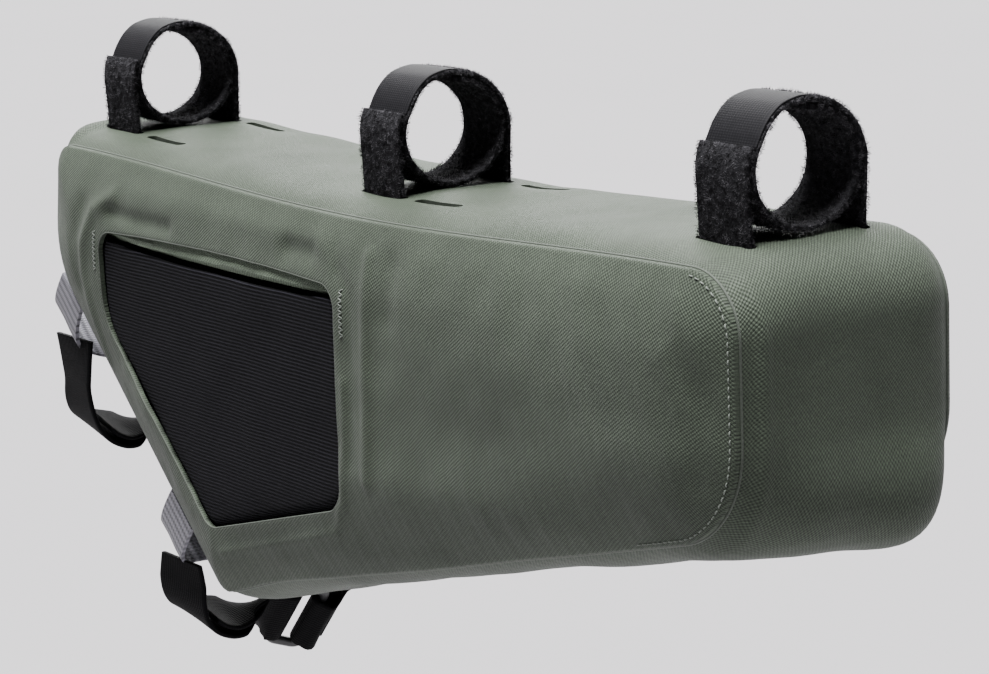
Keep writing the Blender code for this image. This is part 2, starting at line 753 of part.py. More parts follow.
def seat_loop(row, group, strap_material, buckle_material):
    """Makes a seat strap, its buckle and the tab that ties the buckle to the far side."""
    name, _, _, bulge, _, centre_along, leg, depth, turn = row
    _, along, _ = edge_frame()
    place, near_top, far_top, rim = seat_frame(centre_along, leg, bulge)
    half = SEAT_LOOP_WIDTH / 2
    radius = BUCKLE_BAR / 2 + SEAT_GAP + WEB_THICKNESS / 2
    tilt, dip = math.radians(BUCKLE_TILT), math.radians(BUCKLE_DIP)
    side = Vector((math.cos(tilt), 0, math.sin(tilt)))
    run = Vector((math.sin(dip) * side.z, math.cos(dip), -math.sin(dip) * side.x))
    normal = upward_normal(run, side)

    bowl, widths_out, runs = bowl_stations(STRAP_BOWL, place, rim, depth, turn)
    near_hub = bowl[-1] + normal * radius
    far_hub = near_hub + run * BUCKLE_REACH
    lowered = (widths_out[0] - along) / 3
    legs = [Vector((place, -half, near_top - leg * share / 3)) for share in range(3)]
    leg_widths = [along + lowered * share for share in range(3)]
    wrap = wrapped_bar(near_hub, normal, run, radius, 1)
    back, widths_back = [], []
    runs[-2:] = [run, run]
    for index in range(len(bowl) - 1, LAYER_START - 1, -1):
        ease = min(1.0, max(0.0, 1 - (len(bowl) - 2 - index) / LAYER_EASE))
        lift = LAYER_SPREAD + (2 * radius - LAYER_SPREAD) * ease
        back.append(bowl[index] + upward_normal(runs[index], widths_out[index]) * lift)
        widths_back.append(widths_out[index])
    centres = legs + bowl + wrap + back
    widths = leg_widths + widths_out + [side] * len(wrap) + widths_back
    ribbon(f"seat_strap_{name}", centres, [width * SEAT_WEB_WIDTH for width in widths],
           WEB_THICKNESS, group, strap_material)
    make_buckle(f"seat_buckle_{name}", near_hub, run, side, group, buckle_material)

    start = far_hub - normal * radius
    tail = [far_hub + normal * radius + run * step for step in (TAB_TAIL, TAB_TAIL / 2, 0)]
    wrap = wrapped_bar(far_hub, normal, run, radius, -1)
    bowl, widths_in, _ = bowl_stations(TAB_BOWL, place, rim, depth, 0)
    centres = tail + wrap[::-1] + [start, start + run * TAB_TAIL / 2] + bowl
    widths = [side] * (len(centres) - len(bowl)) + widths_in
    for share in (1 / 3, 2 / 3, 1):
        centres.append(Vector((place, half, rim + (far_top - rim) * share)))
        widths.append(Vector((1, 0, along.z / along.x * share ** 3)))
    ribbon(f"buckle_tab_{name}", centres, [width * SEAT_WEB_WIDTH for width in widths],
           WEB_THICKNESS, group, strap_material)


def make_buckle(name, hub, run, width, group, material):
    """Makes a strap buckle: a frame of round bars, from two crossbars and two side bars."""
    half = SEAT_WEB_WIDTH / 2 + BUCKLE_SIDE_PLAY
    corners = (hub - width * half, hub + width * half,
               hub + width * half + run * BUCKLE_REACH, hub - width * half + run * BUCKLE_REACH)
    curve = bpy.data.curves.new(name, "CURVE")
    curve.dimensions = "3D"
    curve.bevel_depth = BUCKLE_BAR / 2
    curve.bevel_resolution = 1
    spline = curve.splines.new("POLY")
    spline.points.add(len(corners) - 1)
    for point, corner in zip(spline.points, corners):
        point.co = (*corner, 1)
    spline.use_cyclic_u = True
    drawn = bpy.data.objects.new(name, curve)
    group.objects.link(drawn)
    curve.materials.append(material)


def build():
    """Builds every piece of the frame bag."""
    clear_scene()
    group = make_collection("frame bag")
    cutters = make_collection("cutters")
    olive = make_material("olive coated cloth", OLIVE, 0.75)
    dark = make_material("pocket back cloth", DARK_GREEN, 0.8)
    pile = make_material("black pile strap", BLACK_PILE, 0.95)
    mesh_cloth = make_material("black stretch mesh", BLACK_MESH, 0.7)
    grey_web = make_material("grey ribbed webbing", GREY_WEB, 0.7)
    black_web = make_material("black webbing", BLACK_WEB, 0.65)
    plastic = make_material("black plastic", BLACK_PLASTIC, 0.4)
    zip_cloth = make_material("black zip tape", BLACK_WEB, 0.6)

    make_gusset(group, cutters, olive)
    near_panel = make_panel("near_panel", -1, NEAR_BULGE, group, olive.copy())
    far_panel = make_panel("far_panel", 1, FAR_BULGE, group, olive.copy())
    make_pocket(near_panel, group, cutters, mesh_cloth, dark)
    make_zip(far_panel, group, cutters, zip_cloth)
    for name, place in STRAP_PLACES.items():
        make_top_strap(f"top_strap_{name}", place, group, pile.copy())
    for row in SEAT_ROWS:
        name, start, length, bulge, short_share = row[:5]
        make_keeper(f"seat_keeper_{name}", start, length, bulge, short_share, group,
                    grey_web.copy())
        seat_loop(row, group, black_web.copy(), plastic.copy())


build()
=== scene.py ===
"""Looks of a bicycle frame bag: cloth, straps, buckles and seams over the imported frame.

Every place is in metres in the frame's own axes: +X forward along the top edge, +Y away
from the pocket side, +Z up, and the origin in the middle top strap's loop. The sizes that
the frame was made from are repeated here, and each surface is worked out from them.
"""

import logging
import math
from collections.abc import Callable
from dataclasses import dataclass, replace
from enum import Enum

import bmesh
import bpy
import numpy as np
from mathutils import Matrix, Vector
from mathutils.geometry import delaunay_2d_cdt


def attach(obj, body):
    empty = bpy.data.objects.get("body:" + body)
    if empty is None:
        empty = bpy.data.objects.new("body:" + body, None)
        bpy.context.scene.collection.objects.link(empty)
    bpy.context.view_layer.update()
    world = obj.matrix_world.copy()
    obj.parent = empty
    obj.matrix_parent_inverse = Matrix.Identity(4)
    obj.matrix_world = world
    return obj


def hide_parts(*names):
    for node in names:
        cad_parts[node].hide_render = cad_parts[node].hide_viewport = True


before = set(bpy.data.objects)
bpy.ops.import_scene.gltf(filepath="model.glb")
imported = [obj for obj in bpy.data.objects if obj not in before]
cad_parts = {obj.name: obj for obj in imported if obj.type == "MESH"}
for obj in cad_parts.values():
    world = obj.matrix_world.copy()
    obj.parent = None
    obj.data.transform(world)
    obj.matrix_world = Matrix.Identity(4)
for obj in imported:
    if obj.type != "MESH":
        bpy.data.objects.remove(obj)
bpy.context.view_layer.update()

Array = np.ndarray
LOG = logging.getLogger("frame_bag")
X_AXIS, Y_AXIS, Z_AXIS = np.eye(3)

# Points compared with a whole line at one time, so that large sheets fit in memory
BLOCK = 3000
LEAST_RISE = 1e-12
# Samples to each span of a smooth path
SPAN_SAMPLES = 24
# Count, spread of lengths and gain of the sine waves in a ripple
WAVE_COUNT, WAVE_SPREAD, WAVE_GAIN = 12, (0.55, 1.6), 2.2
# Rings beside a sheet's loops, then its grid's row pitch and clearance in steps
RING_DEPTHS = (0.0002, 0.0005, 0.0011, 0.0020)
GRID_ROW, GRID_CLEARANCE = 0.866, 0.45
MERGE_REACH = 1e-7
SHEET_CREASE = 40
# Points across a strap's face and round its edge
FACE_POINTS, EDGE_POINTS = 15, 7
# A direction that no fibre follows
SKEW = np.array((0.31, 0.52, 0.79))
NOISE_ROUGHNESS, SHEEN_ROUGHNESS = 0.55, 0.6


class Side(Enum):
    """Side of the bag, with the sign of its Y places."""

    NEAR = -1
    FAR = 1


# Plane and path helpers


def unit(vectors: Array) -> Array:
    """Returns vectors of length one along the last axis."""
    return vectors / np.linalg.norm(vectors, axis=-1, keepdims=True)


def rounded_loop(corners: Array, radii: Array, step: float) -> Array:
    """Rounds a closed clockwise polygon's corners and samples it about every step.

    An arc starts and ends radius / tan(half the inner angle) from its corner, and its
    centre lies radius / sin(half the inner angle) along the bisector.

    Args:
        corners: The polygon's corners, (n, 2).
        radii: One radius for each corner.
        step: The longest run between points.

    Returns:
        The loop's points, (m, 2), with no point doubled.
    """
    before = unit(np.roll(corners, 1, axis=0) - corners)
    after = unit(np.roll(corners, -1, axis=0) - corners)
    half = np.arccos(np.clip((before * after).sum(1), -1, 1)) / 2
    centre = corners + unit(before + after) * (radii / np.sin(half))[:, None]
    start = corners + before * (radii / np.tan(half))[:, None]
    end = corners + after * (radii / np.tan(half))[:, None]
    runs = []
    for index in range(len(corners)):
        spoke, last = start[index] - centre[index], end[index] - centre[index]
        turn = math.atan2(spoke[0] * last[1] - spoke[1] * last[0], float(spoke @ last))
        count = max(4, math.ceil(abs(turn) * radii[index] / step))
        angle = turn * np.arange(count) / count
        runs.append(centre[index] + np.stack([
            spoke[0] * np.cos(angle) - spoke[1] * np.sin(angle),
            spoke[0] * np.sin(angle) + spoke[1] * np.cos(angle)], axis=1))
        side = start[(index + 1) % len(corners)] - end[index]
        count = max(1, math.ceil(float(np.linalg.norm(side)) / step))
        runs.append(end[index] + side * (np.arange(count) / count)[:, None])
    return np.concatenate(runs)


def loop_normals(loop: Array) -> Array:
    """Returns the unit normals that point out of a closed clockwise loop."""
    tangent = np.roll(loop, -1, axis=0) - np.roll(loop, 1, axis=0)
    return unit(np.stack([-tangent[:, 1], tangent[:, 0]], axis=1))


def blocks(points: Array) -> list[Array]:
    """Returns the points in blocks that can be compared with a whole line."""
    return np.array_split(points, max(1, len(points) // BLOCK))


def gap_to_line(points: Array, line: Array, closed: bool = True) -> Array:
    """Returns each point's distance to the nearest run of a line.

    Args:
        points: Places in the plane, (n, 2).
        line: The line's points, (m, 2).
        closed: True where the last point joins the first.

    Returns:
        The distances, (n,).
    """
    ends = np.roll(line, -1, axis=0) if closed else line[1:]
    start = line if closed else line[:-1]
    run = (ends - start)[None]
    nearest = []
    for block in blocks(points):
        offset = block[:, None] - start[None]
        share = np.clip((offset * run).sum(2) / (run * run).sum(2), 0, 1)
        nearest.append(np.linalg.norm(offset - share[:, :, None] * run, axis=2).min(1))
    return np.concatenate(nearest)


def gap_share(points: Array, line: Array, reach: float | Array) -> Array:
    """Returns the distance to a closed line as a share of a reach, 1 at most."""
    return np.clip(gap_to_line(points, line) / reach, 0, 1)


def inside_loop(points: Array, loop: Array) -> Array:
    """Returns True for each point inside a loop: a ray from it crosses an odd count of sides.

    Args:
        points: Places in the plane, (n, 2).
        loop: The closed loop, (m, 2).

    Returns:
        A boolean for each point.
    """
    after = np.roll(loop, -1, axis=0)
    rise = after[:, 1] - loop[:, 1]
    rise = np.where(np.abs(rise) < LEAST_RISE, LEAST_RISE, rise)
    found = []
    for block in blocks(points):
        height = block[:, 1:2]
        spans = (loop[None, :, 1] > height) != (after[None, :, 1] > height)
        share = (height - loop[None, :, 1]) / rise[None]
        cross = loop[None, :, 0] + share * (after[:, 0] - loop[:, 0])[None]
        found.append((spans & (block[:, 0:1] < cross)).sum(1) % 2 == 1)
    return np.concatenate(found)


def smooth(share: Array) -> Array:
    """Returns 3t^2 - 2t^3, which rises from 0 to 1 with level ends."""
    return share * share * (3 - 2 * share)


def bell(gap: Array, reach: float) -> Array:
    """Returns a Gaussian of a gap: 1 at none and 1/e at the reach."""
    return np.exp(-(gap / reach) ** 2)


def turned_in(share: Array) -> Array:
    """Returns how far a quarter circle has dropped, 0 to 1, at a share of its run."""
    return 1 - np.sqrt(np.clip(1 - share ** 2, 0, 1))


def eased(places: Array, knots: Array, values: Array) -> Array:
    """Returns values between knots, with a smooth step from each to the next.

    Args:
        places: Where the values are wanted.
        knots: Rising places of the known values.
        values: The known values.

    Returns:
        One value for each place.
    """
    index = np.clip(np.searchsorted(knots, places) - 1, 0, len(knots) - 2)
    share = np.clip((places - knots[index]) / (knots[index + 1] - knots[index]), 0, 1)
    return values[index] + (values[index + 1] - values[index]) * smooth(share)


def smooth_path(points: Array, count: int) -> Array:
    """Runs a Catmull-Rom curve through points and samples it at even lengths.

    Args:
        points: The points, (n, 3 or more); columns past the third are carried along.
        count: How many stations to return.

    Returns:
        The stations, (count, columns).
    """
    knots = np.concatenate([2 * points[:1] - points[1:2], points,
                            2 * points[-1:] - points[-2:-1]])
    share = np.linspace(0, 1, SPAN_SAMPLES, endpoint=False)[None, :, None]
    first, second, third, fourth = (knots[:-3, None], knots[1:-2, None], knots[2:-1, None],
                                    knots[3:, None])
    curve = 0.5 * (2 * second + (third - first) * share
                   + (2 * first - 5 * second + 4 * third - fourth) * share ** 2
                   + (3 * second - first - 3 * third + fourth) * share ** 3)
    curve = np.concatenate([curve.reshape(-1, points.shape[1]), points[-1:]])
    run = path_lengths(curve[:, :3])
    places = np.linspace(0, run[-1], count)
    return np.stack([np.interp(places, run, column) for column in curve.T], axis=1)


def path_lengths(path: Array, closed: bool = False) -> Array:
    """Returns the length run at each point of a path, and past its last if it is closed."""
    line = np.concatenate([path, path[:1]]) if closed else path
    return np.concatenate([[0], np.cumsum(np.linalg.norm(np.diff(line, axis=0), axis=1))])


def ripples(points: Array, pitch: float, seed: int) -> Array:
    """Returns a soft random height from about -1 to 1: a mean of sine waves.

    Args:
        points: Places, (n, any).
        pitch: The middle wave length.
        seed: Seed of the waves' directions and phases.

    Returns:
        One height for each point.
    """
    chance = np.random.default_rng(seed)
    heading = unit(chance.normal(size=(WAVE_COUNT, points.shape[-1])))
    stretch = chance.uniform(*WAVE_SPREAD, WAVE_COUNT)
    phase = chance.uniform(0, 2 * math.pi, WAVE_COUNT)
    waves = np.sin(points @ (heading * (2 * math.pi / (pitch * stretch))[:, None]).T + phase)
    return waves.mean(axis=-1) * WAVE_GAIN


def waved(base: float | Array, points: Array, rows: tuple) -> Array:
    """Adds ripples to a height.

    Args:
        base: The height without them.
        points: Places, (n, 2 or more).
        rows: For each ripple its pitch, seed, height and stretch of the second axis.

    Returns:
        The height at each point.
    """
    for pitch, seed, height, stretch in rows:
        scale = np.ones(points.shape[1])
        scale[1] = stretch
        base = base + height * ripples(points * scale, pitch, seed)
    return base


# Mesh helpers


def link(name: str, data: bpy.types.ID) -> bpy.types.Object:
    """Puts data into a new object of the scene and returns the object.

    Args:
        name: The object's name.
        data: Its mesh, light or camera.

    Returns:
        The linked object.
    """
    piece = bpy.data.objects.new(name, data)
    bpy.context.scene.collection.objects.link(piece)
    return piece


def mesh_piece(name: str, vertices: Array, faces: list, corner_uv: Array) -> bpy.types.Object:
    """Makes a smooth-shaded object from vertices, faces and a UV place for each face corner.

    Args:
        name: The piece's name.
        vertices: Places, (n, 3).
        faces: Vertex numbers of each face.
        corner_uv: Metres across and along the cloth at each face corner, (corners, 2).

    Returns:
        The linked object, at the origin.
    """
    mesh = bpy.data.meshes.new(name)
    mesh.from_pydata(np.asarray(vertices).tolist(), [], faces)
    mesh.update()
    layer = mesh.uv_layers.new(name="Cloth")
    layer.data.foreach_set("uv", np.asarray(corner_uv, dtype=np.float32).ravel())
    mesh.polygons.foreach_set("use_smooth", np.ones(len(mesh.polygons), dtype=bool))
    return link(name, mesh)


def lattice(name: str, points: Array, across: Array, along: Array, close_rows: bool = False,
            close_columns: bool = False, caps: bool = False) -> bpy.types.Object:
    """Makes a piece from a grid of points.

    Args:
        name: The piece's name.
        points: The grid, (rows, columns, 3).
        across: UV place of each column, with one more where the loop's own length counts on.
        along: UV place of each row, with one more where closed rows count on.
        close_rows: Joins the last row to the first.
        close_columns: Joins the last column to the first.
        caps: Closes the first and last rows with a face each.

    Returns:
        The linked object.
    """
    rows, columns = points.shape[:2]
    row = np.arange(rows if close_rows else rows - 1)[:, None]
    column = np.arange(columns if close_columns else columns - 1)[None, :]
    corner_row = np.stack(np.broadcast_arrays(row + 0 * column, row, row + 1, row + 1), -1)
    corner_column = np.stack(np.broadcast_arrays(column + 0 * row, column + 1, column + 1,
                                                 column), -1)
    faces = ((corner_row % rows) * columns + corner_column % columns).reshape(-1, 4).tolist()
    uv = np.stack([across[corner_column % len(across)], along[corner_row % len(along)]], -1)
    uv = uv.reshape(-1, 2)
    if caps:
        ring = np.arange(columns)
        faces += [ring[::-1].tolist(), (ring + (rows - 1) * columns).tolist()]
        first = np.stack([across[ring[::-1] % len(across)], np.full(columns, along[0])], 1)
        last = np.stack([across[ring % len(across)], np.full(columns, along[rows - 1])], 1)
        uv = np.concatenate([uv, first, last])
    return mesh_piece(name, points.reshape(-1, 3), faces, uv)


def face_outwards(piece: bpy.types.Object) -> bpy.types.Object:
    """Turns a closed piece's faces outwards and returns the piece.

    Args:
        piece: The piece.

    Returns:
        The same piece.
    """
    worked = bmesh.new()
    worked.from_mesh(piece.data)
    bmesh.ops.recalc_face_normals(worked, faces=worked.faces)
    worked.to_mesh(piece.data)
    worked.free()
    return piece


def bake(piece: bpy.types.Object, crease: float) -> bpy.types.Object:
    """Applies a piece's modifiers and keeps edges sharper than crease degrees crisp.

    Args:
        piece: The piece.
        crease: The angle in degrees.

    Returns:
        The same piece.
    """
    depsgraph = bpy.context.evaluated_depsgraph_get()
    mesh = bpy.data.meshes.new_from_object(piece.evaluated_get(depsgraph),
                                           preserve_all_data_layers=True,
                                           depsgraph=depsgraph)
    piece.modifiers.clear()
    old, piece.data = piece.data, mesh
    bpy.data.meshes.remove(old)
    mesh.name = piece.name
    mesh.polygons.foreach_set("use_smooth", np.ones(len(mesh.polygons), dtype=bool))
    mesh.set_sharp_from_angle(angle=math.radians(crease))
    return piece


def give_wall(piece: bpy.types.Object, thickness: float, offset: float = -1,
              even: bool = False) -> None:
    """Gives an open surface a wall: inwards at an offset of -1, to both sides at 0."""
    wall = piece.modifiers.new("Wall", "SOLIDIFY")
    wall.thickness, wall.offset, wall.use_even_offset = thickness, offset, even


def surface_area(piece: bpy.types.Object) -> float:
    """Returns the sum of a piece's face areas in square metres.

    Args:
        piece: The piece, without its wall.

    Returns:
        The area.
    """
    areas = np.zeros(len(piece.data.polygons), dtype=np.float32)
    piece.data.polygons.foreach_get("area", areas)
    return float(areas.sum())


def inset_loop(loop: Array, depth: float) -> Array:
    """Returns a loop moved inwards along its normals by a depth, or outwards below 0."""
    return loop - loop_normals(loop) * depth


def crossed_sides(corners: Array) -> Array:
    """Returns the cross product of two sides of each triangle."""
    return np.cross(corners[:, 1] - corners[:, 0], corners[:, 2] - corners[:, 0])


def trimmed_sheet(name: str, outer: Array, holes: list, step: float, face: Callable,
                  back: Callable, side: Side) -> tuple[bpy.types.Object, float]:
    """Makes a closed sheet of cloth over the XZ plane, trimmed to loops.

    The points are a triangular grid plus rings beside each loop, joined by a Delaunay
    triangulation. A point's Y place is the side's sign times face(points) on the outside
    and times back(points) on the inside, and straight rims join the two at the loops.

    Args:
        name: The piece's name.
        outer: The clockwise loop that bounds it.
        holes: Clockwise loops that are left open.
        step: The grid's pitch.
        face: Function from (n, 2) places to the outer face's distances from the XZ plane.
        back: The same for the inner face.
        side: The side of the bag that its outer face looks to.

    Returns:
        The linked piece and the area of its outer face.
    """
    loops = [outer, *holes]

    def on_sheet(places: Array) -> Array:
        """Returns True for places inside the outer loop and outside the holes.

        Args:
            places: Places in the XZ plane, (n, 2).

        Returns:
            A boolean for each place.
        """
        keep = inside_loop(places, outer)
        for hole in holes:
            keep &= ~inside_loop(places, hole)
        return keep

    rings = [inset_loop(loop, depth if loop is outer else -depth) for loop in loops
             for depth in RING_DEPTHS]
    low, high = outer.min(0), outer.max(0)
    grid = np.stack(np.meshgrid(np.arange(low[0], high[0], step),
                                np.arange(low[1], high[1], step * GRID_ROW)), -1)
    grid[1::2, :, 0] += step / 2
    grid = grid.reshape(-1, 2)
    keep = on_sheet(grid)
    for loop in loops:
        keep &= gap_to_line(grid, loop) > RING_DEPTHS[-1] + step * GRID_CLEARANCE
    points = np.concatenate([*loops, *rings, grid[keep]])
    edges, first = [], 0
    for loop in loops:
        number = np.arange(len(loop))
        edges += np.stack([first + number, first + (number + 1) % len(loop)], 1).tolist()
        first += len(loop)
    made, _, faces, *_ = delaunay_2d_cdt([Vector(point) for point in points.tolist()], edges,
                                         [], 0, MERGE_REACH)
    flat = np.array([tuple(point) for point in made])
    faces = np.array(faces)
    faces = faces[on_sheet(flat[faces].mean(axis=1))]
    turn = crossed_sides(flat[faces])
    faces = np.where((turn * side.value > 0)[:, None], faces[:, ::-1], faces)
    outside, inside = (np.stack([flat[:, 0], side.value * level(flat), flat[:, 1]], axis=1)
                       for level in (face, back))
    area = np.linalg.norm(crossed_sides(outside[faces]), axis=1).sum() / 2
    count = len(flat)
    runs = np.concatenate([faces[:, (0, 1)], faces[:, (1, 2)], faces[:, (2, 0)]])
    rim = runs[~np.isin(runs[:, 0] * count + runs[:, 1], runs[:, 1] * count + runs[:, 0])]
    rims = np.stack([rim[:, 1], rim[:, 0], rim[:, 0] + count, rim[:, 1] + count], axis=1)
    uv = np.concatenate([flat[faces].reshape(-1, 2), flat[faces[:, ::-1]].reshape(-1, 2),
                         flat[rims % count].reshape(-1, 2)])
    shell = faces.tolist() + (faces[:, ::-1] + count).tolist() + rims.tolist()
    sheet = mesh_piece(name, np.concatenate([outside, inside]), shell, uv)
    sheet.data.set_sharp_from_angle(angle=math.radians(SHEET_CREASE))
    return sheet, float(area)


def swept(name: str, centres: Array, widths: Array, profile: Array, closed: bool = False
          ) -> bpy.types.Object:
    """Carries a closed profile along a path.

    Each point is centre + width direction * a + normal * b, where (a, b) is the profile
    and the normal is the path's run crossed with the width direction.

    Args:
        name: The piece's name.
        centres: The path, (n, 3).
        widths: The width directions, (n, 3) or (3,).
        profile: The profile's (a, b) points, (m, 2), or (n, m, 2) for one that changes.
        closed: True for a path that ends where it starts.

    Returns:
        The closed piece with its faces outwards; its UV is (a, length).
    """
    if closed:
        run = np.roll(centres, -1, axis=0) - np.roll(centres, 1, axis=0)
    else:
        run = np.gradient(centres, axis=0)
    run = unit(run)
    widths = np.broadcast_to(widths, centres.shape)
    normal = unit(np.cross(run, widths))
    wide = unit(np.cross(normal, run))
    if profile.ndim == 2:
        profile = np.broadcast_to(profile, (len(centres), *profile.shape))
    points = (centres[:, None] + wide[:, None] * profile[:, :, 0:1]
              + normal[:, None] * profile[:, :, 1:2])
    piece = lattice(name, points, profile[0, :, 0], path_lengths(centres, closed), closed,
                    True, not closed)
    return face_outwards(piece)


def strap_profile(width: float, thickness: float) -> Array:
    """Returns a strap's closed section: two flat faces and two round edges.

    Args:
        width: Full width.
        thickness: Full thickness.

    Returns:
        The section's points, (m, 2).
    """
    radius = thickness / 2
    flat = np.linspace(-1, 1, FACE_POINTS) * (width / 2 - radius)
    turn = np.radians(np.linspace(90, -90, EDGE_POINTS))[1:-1]
    right = np.stack([width / 2 - radius + radius * np.cos(turn), radius * np.sin(turn)], 1)
    upper = np.stack([flat, np.full(len(flat), radius)], axis=1)
    return np.concatenate([upper, right, upper[::-1] * (1, -1), right[::-1] * (-1, 1)])


def round_profile(radius: float, count: int) -> Array:
    """Returns a round section's points, (count, 2)."""
    turn = np.linspace(0, 2 * math.pi, count, endpoint=False)
    return np.stack([np.cos(turn), np.sin(turn)], axis=1) * radius


def tufts(name: str, roots: Array, leans: Array, lengths: Array, breadth: float
          ) -> bpy.types.Object:
    """Makes many short fibres in one mesh: each a thin closed pyramid on three base points.

    Args:
        name: The piece's name.
        roots: Where the fibres stand, (n, 3).
        leans: The unit directions they point in, (n, 3).
        lengths: Their lengths, (n,).
        breadth: The width of their feet.

    Returns:
        The linked object.
    """
    first = unit(np.cross(leans, SKEW))
    second = np.cross(leans, first)
    turn = np.radians((0, 120, 240))
    foot = (first[:, None] * np.cos(turn)[None, :, None]
            + second[:, None] * np.sin(turn)[None, :, None]) * breadth / 2
    points = np.concatenate([roots[:, None] + foot, (roots + leans * lengths[:, None])[:, None]],
                            axis=1)
    corner = np.array(((0, 1, 3), (1, 2, 3), (2, 0, 3), (0, 2, 1)))
    faces = (np.arange(len(roots))[:, None, None] * 4 + corner[None]).reshape(-1, 3)
    uv = np.zeros((faces.size, 2))
    return mesh_piece(name, points.reshape(-1, 3), faces.tolist(), uv)


def stitches(name: str, starts: Array, ends: Array, outward: Array, thick: float
             ) -> bpy.types.Object:
    """Makes thread stitches in one mesh, each a low six-sided lozenge that dips at its ends.

    Args:
        name: The piece's name.
        starts: Where each stitch comes up, (n, 3).
        ends: Where it goes down, (n, 3).
        outward: The unit direction that the cloth faces there, (n, 3).
        thick: The thread's thickness.

    Returns:
        The linked object.
    """
    run = ends - starts
    side = unit(np.cross(run, outward))
    shares = np.array((0.0, 0.12, 0.5, 0.88, 1.0))
    girth = np.array((0.35, 0.85, 1.0, 0.85, 0.35)) * thick / 2
    rise = np.array((-0.3, 0.25, 0.5, 0.25, -0.3)) * thick
    sides, levels = 6, len(shares)
    size = sides * levels
    turn = np.radians(np.arange(sides) * 360 / sides)
    middle = (starts[:, None] + run[:, None] * shares[None, :, None]
              + outward[:, None] * rise[None, :, None])
    around = (side[:, None] * np.cos(turn)[None, :, None]
              + outward[:, None] * np.sin(turn)[None, :, None])
    points = middle[:, :, None] + around[:, None] * girth[None, :, None, None]
    row, column = np.arange(levels - 1)[:, None] * sides, np.arange(sides)[None, :]
    after = (column + 1) % sides
    ring = np.stack([row + column, row + after, row + sides + after, row + sides + column],
                    -1).reshape(-1, 4)
    faces = (np.arange(len(starts))[:, None, None] * size + ring[None]).reshape(-1, 4).tolist()
    for first in range(0, len(starts) * size, size):
        faces += [list(range(first + sides - 1, first - 1, -1)),
                  list(range(first + size - sides, first + size))]
    corners = sum(len(face) for face in faces)
    return face_outwards(mesh_piece(name, points.reshape(-1, 3), faces, np.zeros((corners, 2))))


# Finishes


class Bench:
    """Lays out the nodes of one material."""

    def __init__(self, name: str) -> None:
        """Starts a material with a Principled shader.

        Args:
            name: The material's name.
        """
        self.material = bpy.data.materials.new(name)
        self.material.use_nodes = True
        self.tree = self.material.node_tree
        self.shader = self.tree.nodes["Principled BSDF"]

    def node(self, kind: str, inputs: dict | None = None, **settings: object
             ) -> bpy.types.Node:
        """Adds a node.

        Args:
            kind: The node's type without its common start.
            inputs: Socket name or number to a value or an output socket.
            settings: Properties of the node.

        Returns:
            The node.
        """
        made = self.tree.nodes.new("ShaderNode" + kind)
        for key, value in settings.items():
            setattr(made, key, value)
        for key, value in (inputs or {}).items():
            self.feed(made.inputs[key], value)
        return made

    def feed(self, socket: bpy.types.NodeSocket, value: object) -> None:
        """Links an output socket into a socket, or sets the socket's own value.

        Args:
            socket: The input socket.
            value: An output socket, or a value that it takes.
        """
        if isinstance(value, bpy.types.NodeSocket):
            self.tree.links.new(value, socket)
        else:
            socket.default_value = value

    def calc(self, operation: str, first: object, second: object = 0.0
             ) -> bpy.types.NodeSocket:
        """Returns the output of a Math node."""
        return self.node("Math", {0: first, 1: second}, operation=operation).outputs[0]

    def add(self, base: object, value: object, factor: float) -> bpy.types.NodeSocket:
        """Returns base + value * factor."""
        return self.calc("ADD", base, self.calc("MULTIPLY", value, factor))

    def cloth_places(self) -> tuple[bpy.types.NodeSocket, bpy.types.NodeSocket]:
        """Returns the metres across and along the cloth, from the piece's own UV."""
        places = self.node("UVMap", uv_map="Cloth").outputs["UV"]
        apart = self.node("SeparateXYZ", {0: places})
        return apart.outputs[0], apart.outputs[1]

    def wave(self, place: object, pitch: float) -> bpy.types.NodeSocket:
        """Returns a sine of a place, -1 to 1, one wave in each pitch."""
        return self.calc("SINE", self.calc("MULTIPLY", place, 2 * math.pi / pitch))

    def noise(self, size: float, detail: float = 2.0) -> bpy.types.NodeSocket:
        """Returns a noise from 0 to 1 over Object coordinates, with spots of a given size."""
        places = self.node("TexCoord").outputs["Object"]
        return self.node("TexNoise", {"Vector": places, "Scale": 1 / size, "Detail": detail,
                                      "Roughness": NOISE_ROUGHNESS}).outputs[0]

    def remap(self, value: object, low: float, high: float, start: float = 0.0,
              end: float = 1.0) -> bpy.types.NodeSocket:
        """Returns low to high as a value runs from start to end."""
        return self.node("MapRange", {0: value, 1: start, 2: end, 3: low, 4: high}).outputs[0]

    def ramp(self, value: object, low: tuple, high: tuple, start: float = 0.0,
             end: float = 1.0) -> bpy.types.NodeSocket:
        """Returns a colour between two, by a value between start and end."""
        share = self.remap(value, 0.0, 1.0, start, end)
        return self.node("Mix", {0: share, 6: (*low, 1.0), 7: (*high, 1.0)},
                         data_type="RGBA").outputs[2]

    def tint(self, colour: object, value: object, shares: tuple) -> bpy.types.NodeSocket:
        """Returns a colour scaled between two shares by a value from 0 to 1."""
        return self.node("VectorMath", {0: colour, "Scale": self.remap(value, *shares)},
                         operation="SCALE").outputs[0]

    def finish(self, colour: object, roughness: object, height: object, depth: float,
               specular: float, sheen: float = 0.0) -> bpy.types.Material:
        """Feeds the shader and returns the material.

        Args:
            colour: Base colour or its socket.
            roughness: Roughness or its socket.
            height: The relief from about -1 to 1.
            depth: The relief's depth in metres for a height of one.
            specular: The shader's specular level.
            sheen: Sheen weight of the fibres.

        Returns:
            The material.
        """
        bump = self.node("Bump", {"Height": height, "Distance": depth, "Strength": 1.0})
        for name, value in (("Base Color", colour), ("Roughness", roughness),
                            ("Normal", bump.outputs[0]), ("Sheen Weight", sheen),
                            ("Sheen Roughness", SHEEN_ROUGHNESS),
                            ("Specular IOR Level", specular)):
            self.feed(self.shader.inputs[name], value)
        return self.material


